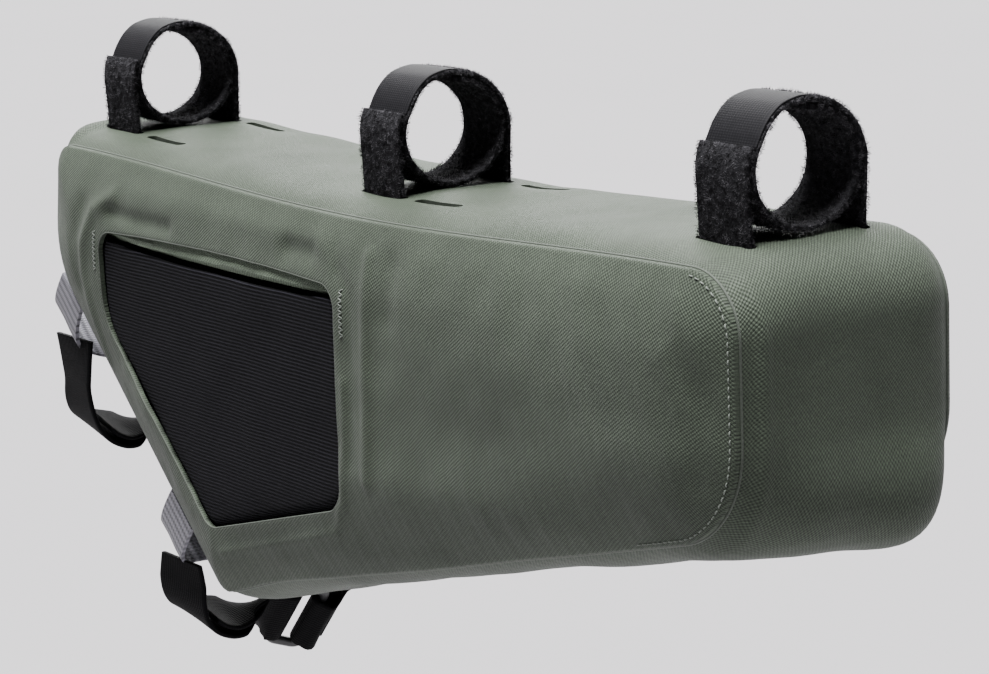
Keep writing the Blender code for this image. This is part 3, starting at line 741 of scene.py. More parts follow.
@dataclass(frozen=True)
class CoatedCloth:
    """Matt coated cloth: two sets of crossing yarns, speckles and faint rubbed patches."""

    name: str = "coated twill"
    deep: tuple = (0.0205, 0.0272, 0.0182)
    pale: tuple = (0.0345, 0.0440, 0.0312)
    pitch: float = 0.00112
    relief: float = 0.00008
    roughness: float = 0.62
    specular: float = 0.13
    sheen: float = 0.035
    slant: float = 0.16
    weft_share: float = 0.92
    drift_size: float = 0.006
    drift_share: float = 0.9
    fine_share: float = 0.47
    fine_weight: float = 0.14
    weave_tint: tuple = (0.34, 1.66)
    speckle_size: float = 0.0007
    speckle_weight: float = 0.9
    speckle_tint: tuple = (0.35, 1.65)
    patch_size: float = 0.045
    patch_range: tuple = (0.25, 0.75)
    rub_size: float = 0.012
    rub_spread: float = 0.07

    def material(self) -> bpy.types.Material:
        """Returns the material."""
        bench = Bench(self.name)
        across, along = bench.cloth_places()
        slanted = bench.add(along, across, self.slant)
        drifted = bench.add(across, bench.noise(self.drift_size), self.pitch * self.drift_share)
        yarns = bench.calc("MULTIPLY", bench.wave(drifted, self.pitch),
                           bench.wave(slanted, self.pitch * self.weft_share))
        fine = bench.wave(bench.calc("ADD", drifted, along), self.pitch * self.fine_share)
        speckle = bench.noise(self.speckle_size, detail=3.0)
        weave = bench.add(yarns, fine, self.fine_weight)
        height = bench.add(weave, speckle, self.speckle_weight)
        colour = bench.ramp(bench.noise(self.patch_size, detail=3.0), self.deep, self.pale,
                            *self.patch_range)
        colour = bench.tint(colour, speckle, self.speckle_tint)
        colour = bench.tint(colour, bench.add(0.5, weave, 0.5), self.weave_tint)
        roughness = bench.remap(bench.noise(self.rub_size, detail=4.0),
                                self.roughness - self.rub_spread,
                                self.roughness + self.rub_spread)
        return bench.finish(colour, roughness, height, self.relief, self.specular, self.sheen)


@dataclass(frozen=True)
class StretchCloth:
    """Stretch cloth with fine ribs that run forward, crossed by fine threads."""

    name: str = "ribbed stretch cloth"
    deep: tuple = (0.0003, 0.0003, 0.0005)
    pale: tuple = (0.0165, 0.0158, 0.0205)
    rib: float = 0.00112
    relief: float = 0.00034
    roughness: float = 0.70
    specular: float = 0.04
    sway_size: float = 0.02
    sway: float = 0.0006
    thread_share: float = 0.62
    thread_weight: float = 0.22
    contrast: float = 0.41
    dip_power: float = 3.0
    spot_size: float = 0.0009
    spot_tint: tuple = (0.75, 1.25)

    def material(self) -> bpy.types.Material:
        """Returns the material."""
        bench = Bench(self.name)
        across, along = bench.cloth_places()
        rib = bench.wave(bench.add(along, bench.noise(self.sway_size, detail=1.0), self.sway),
                         self.rib)
        thread = bench.wave(across, self.rib * self.thread_share)
        height = bench.add(rib, thread, self.thread_weight)
        share = bench.calc("POWER", bench.add(0.5, height, self.contrast), self.dip_power)
        colour = bench.tint(bench.ramp(share, self.deep, self.pale),
                            bench.noise(self.spot_size), self.spot_tint)
        return bench.finish(colour, self.roughness, height, self.relief, self.specular)


@dataclass(frozen=True)
class PileCloth:
    """Looped black pile of a hook-and-loop strap: clumped, dull and uneven."""

    name: str = "black pile"
    deep: tuple = (0.0030, 0.0029, 0.0033)
    pale: tuple = (0.022, 0.0215, 0.0240)
    relief: float = 0.00065
    roughness: float = 0.92
    specular: float = 0.06
    clump_size: float = 0.0016
    loop_size: float = 0.0005
    loop_weight: float = 0.6
    pale_range: tuple = (0.55, 1.05)

    def material(self) -> bpy.types.Material:
        """Returns the material."""
        bench = Bench(self.name)
        height = bench.add(bench.noise(self.clump_size, detail=4.0),
                           bench.noise(self.loop_size), self.loop_weight)
        colour = bench.ramp(height, self.deep, self.pale, *self.pale_range)
        return bench.finish(colour, self.roughness, height, self.relief, self.specular)


@dataclass(frozen=True)
class Spotted:
    """A plain material with spots of two tones: fibre ends and sewing thread."""

    name: str
    deep: tuple
    pale: tuple
    spot_size: float
    detail: float
    pale_range: tuple
    roughness: float
    relief: float
    specular: float
    sheen: float = 0.0

    def material(self) -> bpy.types.Material:
        """Returns the material."""
        bench = Bench(self.name)
        spots = bench.noise(self.spot_size, self.detail)
        colour = bench.ramp(spots, self.deep, self.pale, *self.pale_range)
        return bench.finish(colour, self.roughness, spots, self.relief, self.specular, self.sheen)


@dataclass(frozen=True)
class Webbing:
    """Woven webbing: ribs along its length, crossed by tight weft lines."""

    name: str
    deep: tuple
    pale: tuple
    rib: float = 0.0016
    weft: float = 0.00072
    relief: float = 0.00011
    roughness: float = 0.6
    specular: float = 0.4
    slant_share: float = 0.35
    rib_weight: float = 0.7
    weft_weight: float = 0.4
    contrast: float = 0.4
    spot_size: float = 0.0022
    spot_tint: tuple = (0.75, 1.25)

    def material(self) -> bpy.types.Material:
        """Returns the material."""
        bench = Bench(self.name)
        across, along = bench.cloth_places()
        rib = bench.wave(across, self.rib)
        slant = bench.add(along, bench.calc("ABSOLUTE", rib), self.weft * self.slant_share)
        height = bench.add(bench.calc("MULTIPLY", rib, self.rib_weight),
                           bench.wave(slant, self.weft), self.weft_weight)
        colour = bench.ramp(bench.add(0.5, height, self.contrast), self.deep, self.pale)
        colour = bench.tint(colour, bench.noise(self.spot_size, detail=3.0), self.spot_tint)
        return bench.finish(colour, self.roughness, height, self.relief, self.specular)


@dataclass(frozen=True)
class MouldedPlastic:
    """Satin moulded plastic with a fine grain and paler scuffs."""

    name: str = "moulded plastic"
    deep: tuple = (0.009, 0.009, 0.010)
    pale: tuple = (0.020, 0.020, 0.021)
    relief: float = 0.00002
    specular: float = 0.5
    grain_size: float = 0.0004
    scuff_size: float = 0.004
    scuff_range: tuple = (0.35, 0.75)
    roughness: tuple = (0.30, 0.52)

    def material(self) -> bpy.types.Material:
        """Returns the material."""
        bench = Bench(self.name)
        grain = bench.noise(self.grain_size, detail=3.0)
        scuffs = bench.noise(self.scuff_size, detail=5.0)
        colour = bench.ramp(scuffs, self.deep, self.pale, *self.scuff_range)
        return bench.finish(colour, bench.remap(scuffs, *self.roughness), grain, self.relief,
                            self.specular)


OLIVE = CoatedCloth()
# The pocket's back is the panels' olive cloth painted about two and a half times lighter. This is
# painted light, standing in for the light that the recess behind the window's lip does not get.
LINING_PAINTED_LIGHTER = CoatedCloth(name="pocket lining painted lighter", deep=(0.058, 0.076, 0.052),
                            pale=(0.084, 0.106, 0.076))
GREY_WEB = Webbing("grey ribbed webbing", (0.018, 0.0175, 0.021), (0.19, 0.186, 0.215),
                   rib=0.0030, weft=0.0015)
BLACK_WEB = Webbing("black ribbed webbing", (0.0005, 0.0005, 0.0006), (0.0032, 0.0032, 0.0038),
                    rib=0.0011, weft=0.0008, relief=0.00008, roughness=0.70, specular=0.04)
THREAD = Spotted("sewing thread", (0.04, 0.05, 0.04), (0.12, 0.135, 0.115), 0.0004, 2.0,
                 (0.3, 0.7), roughness=0.7, relief=0.00004, specular=0.3, sheen=0.1)
PIPING = replace(THREAD, name="olive seam thread", deep=(0.020, 0.026, 0.018),
                 pale=(0.036, 0.045, 0.033))
# The pile's loose fibres are dark grey with spots about five times paler than the pile. The paler
# tone is partly the yarn's own grey and partly painted highlight where the fuzz catches light.
FIBRES_WITH_PAINTED_HIGHLIGHT = Spotted("pile fibres", (0.0035, 0.0034, 0.0039), (0.115, 0.111, 0.121), 0.0016,
                     3.0, (0.42, 0.72), roughness=0.85, relief=0.00002, specular=0.06)
SMOOTH_BAND = Webbing("smooth woven band", (0.0026, 0.0025, 0.0031), (0.0078, 0.0075, 0.0090),
                      rib=0.0010, weft=0.0007, relief=0.00004, roughness=0.62, specular=0.09)
ZIP_TAPE = Webbing("zip tape", (0.008, 0.008, 0.009), (0.024, 0.024, 0.026), rib=0.0008)


def dress(piece: bpy.types.Object, finish: object, slot: str, *nodes: str
          ) -> bpy.types.Object:
    """Gives a piece its material and its body, and reports it.

    Args:
        piece: The piece.
        finish: The finish whose material it takes.
        slot: The record's material slot; not used.
        nodes: The CAD nodes that it stands for.

    Returns:
        The piece.
    """
    piece.data.materials.clear()
    piece.data.materials.append(finish.material())
    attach(piece, "root")
    if nodes:
        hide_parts(*nodes)
    LOG.info("%s: %d faces", piece.name, len(piece.data.polygons))
    return piece


# The bag's shape


@dataclass(frozen=True)
class BagShape:
    """The bag's outline at its seams and how far each part of its cloth stands out."""

    top_length: float = 0.348
    front_height: float = 0.065
    rear_height: float = 0.1345
    upright_height: float = 0.040
    upright_lean: float = 0.007
    base_length: float = 0.254
    top_sag: float = 0.0048
    radii: tuple = (0.009, 0.017, 0.030, 0.008, 0.028)
    seam_top: float = -0.01625
    rear_end: float = -0.171
    half_width: float = 0.0360
    gusset_half: float = 0.0339
    cloth: float = 0.0018
    top_crown: float = 0.0044
    front_crown: float = 0.0035
    upright_crown: float = 0.0085
    edge_crown: float = 0.0040
    rear_top_crown: float = 0.0095
    front_low_crown: float = 0.0185
    bulge_reach: float = 0.031
    bulge_power: float = 2.3
    bulge_step: float = 0.004
    band_flatness: int = 6
    corner_growth: float = 0.8
    fold_power: int = 4
    base_rows: tuple = (
        (0.00, 0.0000, 0.0045), (0.14, 0.0020, 0.0048), (0.27, 0.0013, 0.0046),
        (0.47, 0.0005, 0.0038), (0.61, 0.0006, 0.0046), (0.76, 0.0002, 0.0052),
        (0.92, 0.0000, 0.0062), (1.00, 0.0000, 0.0066))

    @property
    def front_end(self) -> float:
        """X place of the front seam."""
        return self.rear_end + self.top_length

    def corners(self) -> Array:
        """Returns the outline's five corners from the rear top, clockwise."""
        return np.array((
            (self.rear_end, self.seam_top),
            (self.front_end, self.seam_top),
            (self.front_end, self.seam_top - self.front_height),
            (self.front_end - self.base_length, self.seam_top - self.rear_height),
            (self.rear_end - self.upright_lean, self.seam_top - self.upright_height)))

    def base_value(self, places: Array, column: int) -> Array:
        """Returns a column of the base's rows at X places.

        Args:
            places: X places.
            column: 1 for how far the seam is drawn up, 2 for the crown.

        Returns:
            One value for each place.
        """
        rows = np.array(self.base_rows)
        share = (places - self.front_end + self.base_length) / self.base_length
        return eased(np.clip(share, 0, 1), rows[:, 0], rows[:, column])

    def seam(self, step: float) -> Array:
        """Returns the seam's loop: its top sags as sin^2 and its base is drawn up in folds.

        Args:
            step: The longest run between points.

        Returns:
            The loop's points in the XZ plane, (n, 2).
        """
        loop = rounded_loop(self.corners(), np.array(self.radii), step)
        facing = loop_normals(loop)[:, 1]
        share = np.clip((loop[:, 0] - self.rear_end) / self.top_length, 0, 1)
        loop[:, 1] -= np.clip(facing, 0, 1) * self.top_sag * np.sin(math.pi * share) ** 2
        loop[:, 1] += np.clip(-facing, 0, 1) ** self.fold_power * self.base_value(loop[:, 0], 1)
        return loop

    def crown(self, loop: Array, normals: Array) -> tuple[Array, Array]:
        """Returns how far the band stands out of the seam, blended by squared normals.

        Args:
            loop: The seam's points.
            normals: Their outward normals.

        Returns:
            The crown, and what the front low corner adds to it at the far seam.
        """
        up, down = (np.clip(sign * normals[:, 1], 0, 1) ** 2 for sign in (1, -1))
        ahead, behind = (np.clip(sign * normals[:, 0], 0, 1) ** 2 for sign in (1, -1))
        crown = self.top_crown * up + self.base_value(loop[:, 0], 2) * down
        crown += self.front_crown * ahead + self.upright_crown * behind
        for share, corner in ((up * behind, self.rear_top_crown),
                              (down * behind, self.edge_crown)):
            crown = crown * (1 - 4 * share) + corner * 4 * share
        return crown, (self.front_low_crown - crown) * 4 * down * ahead

    def top_height(self, place: float) -> float:
        """Returns the height of the top's middle at an X place."""
        share = (place - self.rear_end) / self.top_length
        return self.seam_top + self.top_crown - self.top_sag * math.sin(math.pi * share) ** 2

    def panel_stand(self, points: Array, height: float) -> Array:
        """Returns a panel's distance from the XZ plane: steep at its seam, level inside."""
        share = gap_share(points, self.seam(self.bulge_step), self.bulge_reach)
        return self.half_width + height * (1 - (1 - share) ** self.bulge_power)

    def edge_frame(self) -> tuple[Array, Array, Array]:
        """Returns the slanted rear edge's upper corner, direction and outward normal in 3D."""
        corners = self.corners()
        upper = np.array((corners[4, 0], 0, corners[4, 1]))
        lower = np.array((corners[3, 0], 0, corners[3, 1]))
        along = unit(lower - upper)
        return upper, along, np.array((along[2], 0, -along[0]))


BAG = BagShape()


@dataclass(frozen=True)
class Fold:
    """A soft fold or dent in the cloth along a line: its height fades as a Gaussian."""

    line: tuple
    reach: float
    height: float

    def lift(self, points: Array) -> Array:
        """Returns the fold's height at points in the XZ plane."""
        gap = gap_to_line(points, np.array(self.line), closed=False)
        return self.height * bell(gap, self.reach)


@dataclass
class GussetBand:
    """The band of cloth that wraps the top, front, base and rear, with its strap slots."""

    step: float = 0.0015
    rows: int = 50
    ridge_inset: float = 0.0055
    slot_places: tuple = (-0.156, -0.1283, 0.0, 0.0277, 0.154)
    slot_spread: float = 0.0187
    slot_length: float = 0.022
    slot_opening: float = 0.0034
    slot_reach: float = 0.006
    slot_end_points: int = 9
    gathering: float = 1.35
    crease: float = 48
    growth: tuple = (1.04, 1.02)
    # The ridge and the dip beside it: share of the ridge's inset, height and reach
    ridges: tuple = ((1.0, 0.0009, 0.0016), (0.45, -0.0006, 0.0017))
    ridge_power: int = 3
    waves: tuple = ((0.052, 11, 0.00042, 1.6), (0.021, 5, 0.00012, 1.0))
    corner_place: tuple = (0.020, 0.026)
    corner_reach: tuple = (0.010, 0.006)
    corner_depth: float = 0.0011
    slot_dent_reach: tuple = (0.013, 0.005)
    slot_dent_depth: float = 0.00045
    notch_place: tuple = (0.0016, 0.024)
    notch_reach: float = 0.0008
    notch_depth: float = 0.0006
    seam_fade: int = 9

    def relief(self, loop: Array, normals: Array, across: Array) -> Array:
        """Works out the band's small folds, which fade at its seams.

        They are the flange's ridge down the front, soft waves, dents by the near front corner
        and beside the strap slots, and one small notch in the front seam's upper end.

        Args:
            loop: The seam's points.
            normals: Their outward normals.
            across: The rows' places across the band, -1 to 1.

        Returns:
            Heights in metres, (rows, columns).
        """
        place = across[:, None] * BAG.gusset_half
        ahead = np.clip(normals[None, :, 0], 0, 1) ** self.ridge_power
        inset = place + BAG.gusset_half
        folds = ahead * sum(height * bell(inset - self.ridge_inset * share, reach)
                            for share, height, reach in self.ridges)
        spots = np.stack(np.broadcast_arrays(loop[None, :, 0], place, loop[None, :, 1]), -1)
        flat = spots.reshape(-1, 3)
        folds = folds + waved(0.0, flat, self.waves).reshape(place.shape[0], len(loop))
        up = np.clip(normals[None, :, 1], 0, 1)

        def spot(x: float, y: float, reach: tuple) -> Array:
            """Returns a Gaussian spot round a place, with a reach along X and one along Y."""
            return np.exp(-((loop[None, :, 0] - x) / reach[0]) ** 2
                          - ((place - y) / reach[1]) ** 2)

        back, near = self.corner_place
        corner = spot(BAG.front_end - back, -near, self.corner_reach) * up
        folds = folds - self.corner_depth * corner
        for x in self.slot_places:
            for side in (-1, 1):
                dent = spot(x, side * self.slot_spread, self.slot_dent_reach)
                folds = folds - self.slot_dent_depth * dent * up
        back, drop = self.notch_place
        gap = np.hypot(loop[:, 0] - (BAG.front_end - back), loop[:, 1] - (BAG.seam_top - drop))
        notch = bell(gap[None, :], self.notch_reach) * np.clip(1 - inset / self.ridge_inset, 0, 1)
        folds = folds - self.notch_depth * notch
        return folds * np.clip((1 - np.abs(across)) * self.seam_fade, 0, 1)[:, None]

    def surface(self) -> tuple[Array, Array, Array]:
        """Returns the band's points, its columns' lengths and its rows' lengths."""
        loop = BAG.seam(self.step)
        normals = loop_normals(loop)
        turn = np.linspace(-1, 1, self.rows)
        across = np.sign(turn) * (1 - (1 - np.abs(turn)) ** self.gathering)
        crown, corner = BAG.crown(loop, normals)
        growth = ((1 + across) / 2) ** BAG.corner_growth
        arch = 1 - np.abs(across) ** BAG.band_flatness
        rise = arch[:, None] * (crown[None] + growth[:, None] * corner[None])
        rise = rise + self.relief(loop, normals, across)
        points = np.zeros((len(across), len(loop), 3))
        points[:, :, 0] = loop[None, :, 0] + normals[None, :, 0] * rise
        points[:, :, 1] = (across * BAG.gusset_half)[:, None]
        points[:, :, 2] = loop[None, :, 1] + normals[None, :, 1] * rise
        return points, path_lengths(loop, closed=True), across * BAG.gusset_half

    def slot_cutter(self) -> bpy.types.Object:
        """Returns one mesh of upright rods with the slots' section, two to a strap place."""
        radius = self.slot_opening / 2
        half = self.slot_length / 2 - radius
        turn = np.radians(np.linspace(-90, 90, self.slot_end_points))
        right = np.stack([half + radius * np.cos(turn), radius * np.sin(turn)], axis=1)
        section = np.concatenate([right, -right])
        worked = bmesh.new()
        for x in self.slot_places:
            for side in (-1, 1):
                levels = []
                for z in (BAG.top_height(x) - self.slot_reach,
                          BAG.top_height(x) + self.slot_reach):
                    places = section + (x, side * self.slot_spread)
                    levels.append([worked.verts.new((a, b, z)) for a, b in places.tolist()])
                worked.faces.new(levels[0][::-1])
                worked.faces.new(levels[1])
                for index in range(len(section)):
                    after = (index + 1) % len(section)
                    worked.faces.new((levels[0][index], levels[0][after], levels[1][after],
                                      levels[1][index]))
        bmesh.ops.recalc_face_normals(worked, faces=worked.faces)
        mesh = bpy.data.meshes.new("slots")
        worked.to_mesh(mesh)
        worked.free()
        return link("slots", mesh)

    def build(self) -> bpy.types.Object:
        points, columns, rows = self.surface()
        band = lattice("gusset_cloth", points, columns, rows, close_columns=True)
        area = surface_area(band)
        give_wall(band, BAG.cloth)
        cutter = self.slot_cutter()
        cut = band.modifiers.new("Slots", "BOOLEAN")
        cut.operation, cut.solver, cut.object = "DIFFERENCE", "EXACT", cutter
        bake(band, self.crease)
        bpy.data.objects.remove(cutter, do_unlink=True)
        dress(band, OLIVE, "coated_cloth", "gusset")
        wide, long = self.growth
        wide = float(np.linalg.norm(np.diff(points[:, 0], axis=0), axis=1).sum()) * wide
        return band


@dataclass
class PocketWindow:
    """The pocket window's outline, beside the slanted edge and the base at fixed insets."""

    top_drop: float = 0.0243
    length: float = 0.141
    rear_inset: float = 0.0195
    low_inset: float = 0.0212
    corner: float = 0.007
    bend_share: float = 0.75
    # Radii in corners: the least at the top, the two low ones and the rear bend's
    least_top: float = 0.3
    low_front: float = 1.6
    low_rear: float = 1.2
    rear_bend: int = 3
    top_bow: float = 0.0018
    bow_power: float = 0.8

    @staticmethod
    def meet(point: Array, run: Array, other: Array, other_run: Array) -> Array:
        """Returns where two lines in the plane meet.

        Args:
            point: A point of the first line.
            run: Its direction.
            other: A point of the second line.
            other_run: Its direction.

        Returns:
            The place where they meet.
        """
        cross = run[0] * other_run[1] - run[1] * other_run[0]
        gap = other - point
        return point + run * ((gap[0] * other_run[1] - gap[1] * other_run[0]) / cross)

    def loop(self, growth: float, rise: float, step: float = 0.0012) -> Array:
        """Returns the window's loop, grown by a margin, its top raised by a rise.

        Args:
            growth: The margin.
            rise: How far its top is raised.
            step: The longest run between points.

        Returns:
            The loop's points in the XZ plane, (n, 2).
        """
        upper, along, outward = BAG.edge_frame()
        corners = BAG.corners()
        base_run = unit(corners[2] - corners[3])
        rear_run, rear_out = along[[0, 2]], outward[[0, 2]]
        rear = upper[[0, 2]] - rear_out * self.rear_inset
        low = corners[3] + np.array((-base_run[1], base_run[0])) * (self.low_inset - growth)
        level, plumb = np.array((1.0, 0.0)), np.array((0.0, 1.0))
        bend = np.array((0.0, upper[2] - self.rear_inset * self.bend_share))
        rear_x = self.meet(rear, rear_run, bend, level)[0]
        front_x = rear_x + self.length + growth
        rear_x -= growth
        rear = rear + rear_out * growth
        top = BAG.seam_top - self.top_drop + rise
        shape = np.array((
            (rear_x, top), (front_x, top),
            self.meet(low, base_run, np.array((front_x, 0.0)), plumb),
            self.meet(rear, rear_run, low, base_run),
            self.meet(rear, rear_run, np.array((rear_x, 0.0)), plumb)))
        top_radius = max(self.corner + rise, self.corner * self.least_top)
        radii = np.array((top_radius, top_radius, self.corner * self.low_front + growth,
                          self.corner * self.low_rear + growth, self.corner * self.rear_bend))
        loop = rounded_loop(shape, radii, step)
        facing = np.clip(loop_normals(loop)[:, 1], 0, 1)
        share = np.clip((loop[:, 0] - rear_x) / (front_x - rear_x), 0, 1)
        loop[:, 1] += facing * self.top_bow * np.sin(math.pi * share) ** self.bow_power
        return loop


WINDOW = PocketWindow()


@dataclass
class SidePanel:
    """A cushioned side panel with its folds, trimmed to the seam and to an opening."""

    side: Side
    bulge: float
    folds: tuple
    opening: Array
    node: str
    step: float = 0.0014
    rim: float = 0.0006
    rim_share: float = 0.7
    seam_step: float = 0.003
    edge_step: float = 0.0014
    fade_reach: float = 0.007
    growth: float = 1.03
    waves: tuple = ((0.060, 3, 0.00055, 1.3), (0.019, 8, 0.00018, 1.0))

    def cushion(self, points: Array) -> Array:
        """Returns the distance from the XZ plane at places in it, without the turned rims.

        It is the shape's own cushion plus the folds and waves, which fade at the seam.

        Args:
            points: Places in the XZ plane, (n, 2).

        Returns:
            One distance for each point.
        """
        fade = gap_share(points, BAG.seam(self.seam_step), self.fade_reach)
        lift = waved(sum(fold.lift(points) for fold in self.folds), points, self.waves)
        return BAG.panel_stand(points, self.bulge) + lift * fade

    def stand(self, points: Array) -> Array:
        """Returns the outer face: the cushion less a quarter circle at each edge.

        Args:
            points: Places in the XZ plane, (n, 2).

        Returns:
            One distance for each point.
        """
        turned = 0.0
        for line in (BAG.seam(self.seam_step), self.opening):
            share = 1 - gap_share(points, line, self.rim)
            turned = turned + self.rim * self.rim_share * turned_in(share)
        return self.cushion(points) - turned

    def build(self) -> bpy.types.Object:
        outer = BAG.seam(self.edge_step)
        panel, area = trimmed_sheet(self.node + "_cloth", outer, [self.opening], self.step,
                                    self.stand, lambda at: self.cushion(at) - BAG.cloth,
                                    self.side)
        dress(panel, OLIVE, "coated_cloth", self.node)
        return panel


NEAR_FOLDS = (
    Fold(((-0.1385, -0.085), (-0.1412, -0.074), (-0.1462, -0.056), (-0.1440, -0.045),
          (-0.1380, -0.034), (-0.126, -0.0285)), 0.0026, 0.0010),
    Fold(((-0.1500, -0.060), (-0.1510, -0.046), (-0.1460, -0.034)), 0.0040, -0.0009),
    Fold(((-0.128, -0.0335), (-0.112, -0.0345), (-0.090, -0.0345)), 0.0026, -0.0011),
    Fold(((-0.122, -0.0255), (-0.09, -0.0262), (-0.04, -0.0278), (0.0, -0.0290)), 0.0040, 0.0005),
    Fold(((0.0080, -0.036), (0.0145, -0.042), (0.0150, -0.060), (0.0145, -0.090)), 0.0032, -0.0006),
    Fold(((0.0225, -0.030), (0.0238, -0.042), (0.0235, -0.071), (0.0226, -0.0945)), 0.0026, 0.0010),
    Fold(((0.0335, -0.032), (0.0340, -0.045)), 0.0050, -0.0010),
    Fold(((-0.020, -0.0322), (-0.008, -0.0322)), 0.0035, -0.0012),
    Fold(((-0.0678, -0.1346), (-0.0221, -0.1214), (0.0007, -0.1143), (0.0081, -0.1032),
          (0.0108, -0.0849), (0.0113, -0.0671)), 0.0014, 0.0006),
    Fold(((0.030, -0.100), (0.060, -0.095), (0.095, -0.088)), 0.0090, 0.0006),
    Fold(((-0.122, -0.086), (-0.100, -0.108), (-0.086, -0.124)), 0.0040, 0.0005),
    Fold(((0.160, -0.034), (0.168, -0.050), (0.166, -0.068)), 0.0050, -0.0006),
)
FAR_FOLDS = (
    Fold(((-0.150, -0.050), (-0.110, -0.062), (-0.060, -0.060)), 0.0090, 0.0006),
    Fold(((-0.100, -0.110), (-0.040, -0.100), (0.030, -0.092)), 0.0080, -0.0006),
    Fold(((0.060, -0.060), (0.120, -0.066)), 0.0100, 0.0006),
    Fold(((0.150, -0.030), (0.166, -0.050)), 0.0060, -0.0005),
)


@dataclass
class StretchPocket:
    """The stretch cloth behind the window and the recessed cloth at the pocket's back."""

    mesh_wall: float = 0.0012
    play: float = 0.0007
    depth: float = 0.0062
    near_bulge: float = 0.0070
    # Each cloth's grid step, growth past the window, rise past its top, and flat growth
    mesh_step: float = 0.0017
    mesh_margin: float = 0.0035
    mesh_rise: float = -0.0030
    mesh_growth: float = 1.02
    back_step: float = 0.0018
    back_margin: float = 0.006
    back_rise: float = 0.004
    back_growth: float = 1.08
    hem_facing: float = 0.3
    swell_reach: float = 0.0022
    swell: float = 0.0015
    hem_radius: float = 0.0008
    hem_turn: float = 0.0005
    mesh_waves: tuple = ((0.024, 31, 0.00020, 1.0),)
    slack_pitch: float = 0.030
    slack_seed: int = 21
    slack_height: float = 0.0004
    lip: float = 0.0018
    # The floor's slope: its run low down, what the run gains at the top, and over what height
    slope_run: float = 0.007
    slope_gain: float = 0.013
    slope_height: float = 0.018
    hem_overlap: float = 0.0026
    lining_reach: float = 0.0012
    lining_gap: float = 0.0008
    lining_recess: float = 0.0004
    mouth_rows: tuple = (
        (-0.1340, 0.0036), (-0.1240, 0.0050), (-0.1050, 0.0062), (-0.0780, 0.0068),
        (-0.0480, 0.0070), (-0.0180, 0.0068), (0.0072, 0.0056))

    def face_depth(self) -> float:
        """Returns how far the stretch cloth's face lies behind the panel's outer face."""
        return BAG.cloth + self.play

    def hem(self, places: Array) -> Array:
        """Returns the height of the stretch cloth's upper hem at X places."""
        rows = np.array(self.mouth_rows)
        return BAG.seam_top - WINDOW.top_drop + WINDOW.top_bow - eased(
            np.clip(places, rows[0, 0], rows[-1, 0]), rows[:, 0], rows[:, 1])

    def build_mesh(self) -> bpy.types.Object:
        """Builds the stretch cloth: its upper hem sags below the window's edge.

        The cloth is raised by the swell inside the window and its hem is turned in.
        """
        loop = WINDOW.loop(self.mesh_margin, self.mesh_rise)
        facing = np.clip(loop_normals(loop)[:, 1], 0, 1)
        loop[:, 1] = np.where(facing > self.hem_facing, self.hem(loop[:, 0]), loop[:, 1])
        seam = WINDOW.loop(0.0, 0.0)

        def level_of(points: Array) -> Array:
            """Returns the cloth's face before its hem is turned: raised inside the window.

            Args:
                points: Places in the XZ plane, (n, 2).

            Returns:
                One distance for each point.
            """
            share = gap_share(points, seam, self.swell_reach)
            swell = np.where(inside_loop(points, seam), smooth(share), 0)
            return waved(BAG.panel_stand(points, self.near_bulge) - self.face_depth()
                         + swell * self.swell, points, self.mesh_waves)

        def face(points: Array) -> Array:
            """Returns the outer face, with its hem turned in by a quarter circle."""
            edge = gap_share(points, loop, self.hem_radius)
            return level_of(points) - self.hem_turn * turned_in(1 - edge)

        cloth, area = trimmed_sheet("pocket_stretch_cloth", loop, [], self.mesh_step, face,
                                    lambda at: level_of(at) - self.mesh_wall, Side.NEAR)
        dress(cloth, StretchCloth(), "stretch_mesh", "pocket_mesh")
        return cloth

    def build_back(self) -> bpy.types.Object:
        """Builds the recessed back: a flange behind the window and a floor below it."""
        flange = self.face_depth() + self.mesh_wall + self.play
        loop = WINDOW.loop(self.back_margin, self.back_rise)
        lip = WINDOW.loop(self.lip, self.lip)
        seam = WINDOW.loop(0.0, 0.0)
        top = BAG.seam_top - WINDOW.top_drop

        def face(points: Array) -> Array:
            """Returns the outer face: forward above the hem, and dropped inside the lip.

            Args:
                points: Places in the XZ plane, (n, 2).

            Returns:
                One distance for each point.
            """
            reach = self.slope_run + self.slope_gain * np.clip(
                1 - (top - points[:, 1]) / self.slope_height, 0, 1)
            share = gap_share(points, lip, reach)
            share = np.where(inside_loop(points, lip), share, 0)
            drop = self.depth * share * share * (3 - 2 * share)
            slack = self.slack_height * ripples(points, self.slack_pitch, self.slack_seed) * share
            below = np.clip(1 - (points[:, 1] - self.hem(points[:, 0])) / self.hem_overlap, 0, 1)
            inside = gap_share(points, seam, self.lining_reach) * inside_loop(points, seam)
            rise = (flange - BAG.cloth - self.lining_gap
                    + (BAG.cloth - self.lining_recess) * inside)
            above = 1 - smooth(below)
            stand = BAG.panel_stand(points, self.near_bulge) - flange
            return stand + rise * above + (slack - drop) * (1 - above)

        cloth, area = trimmed_sheet("pocket_back_cloth", loop, [], self.back_step, face,
                                    lambda at: face(at) - BAG.cloth, Side.NEAR)
        # The back takes the lighter-painted lining: painted light on the pocket's recessed back.
        dress(cloth, LINING_PAINTED_LIGHTER, "pocket_cloth", "pocket_back")
        return cloth


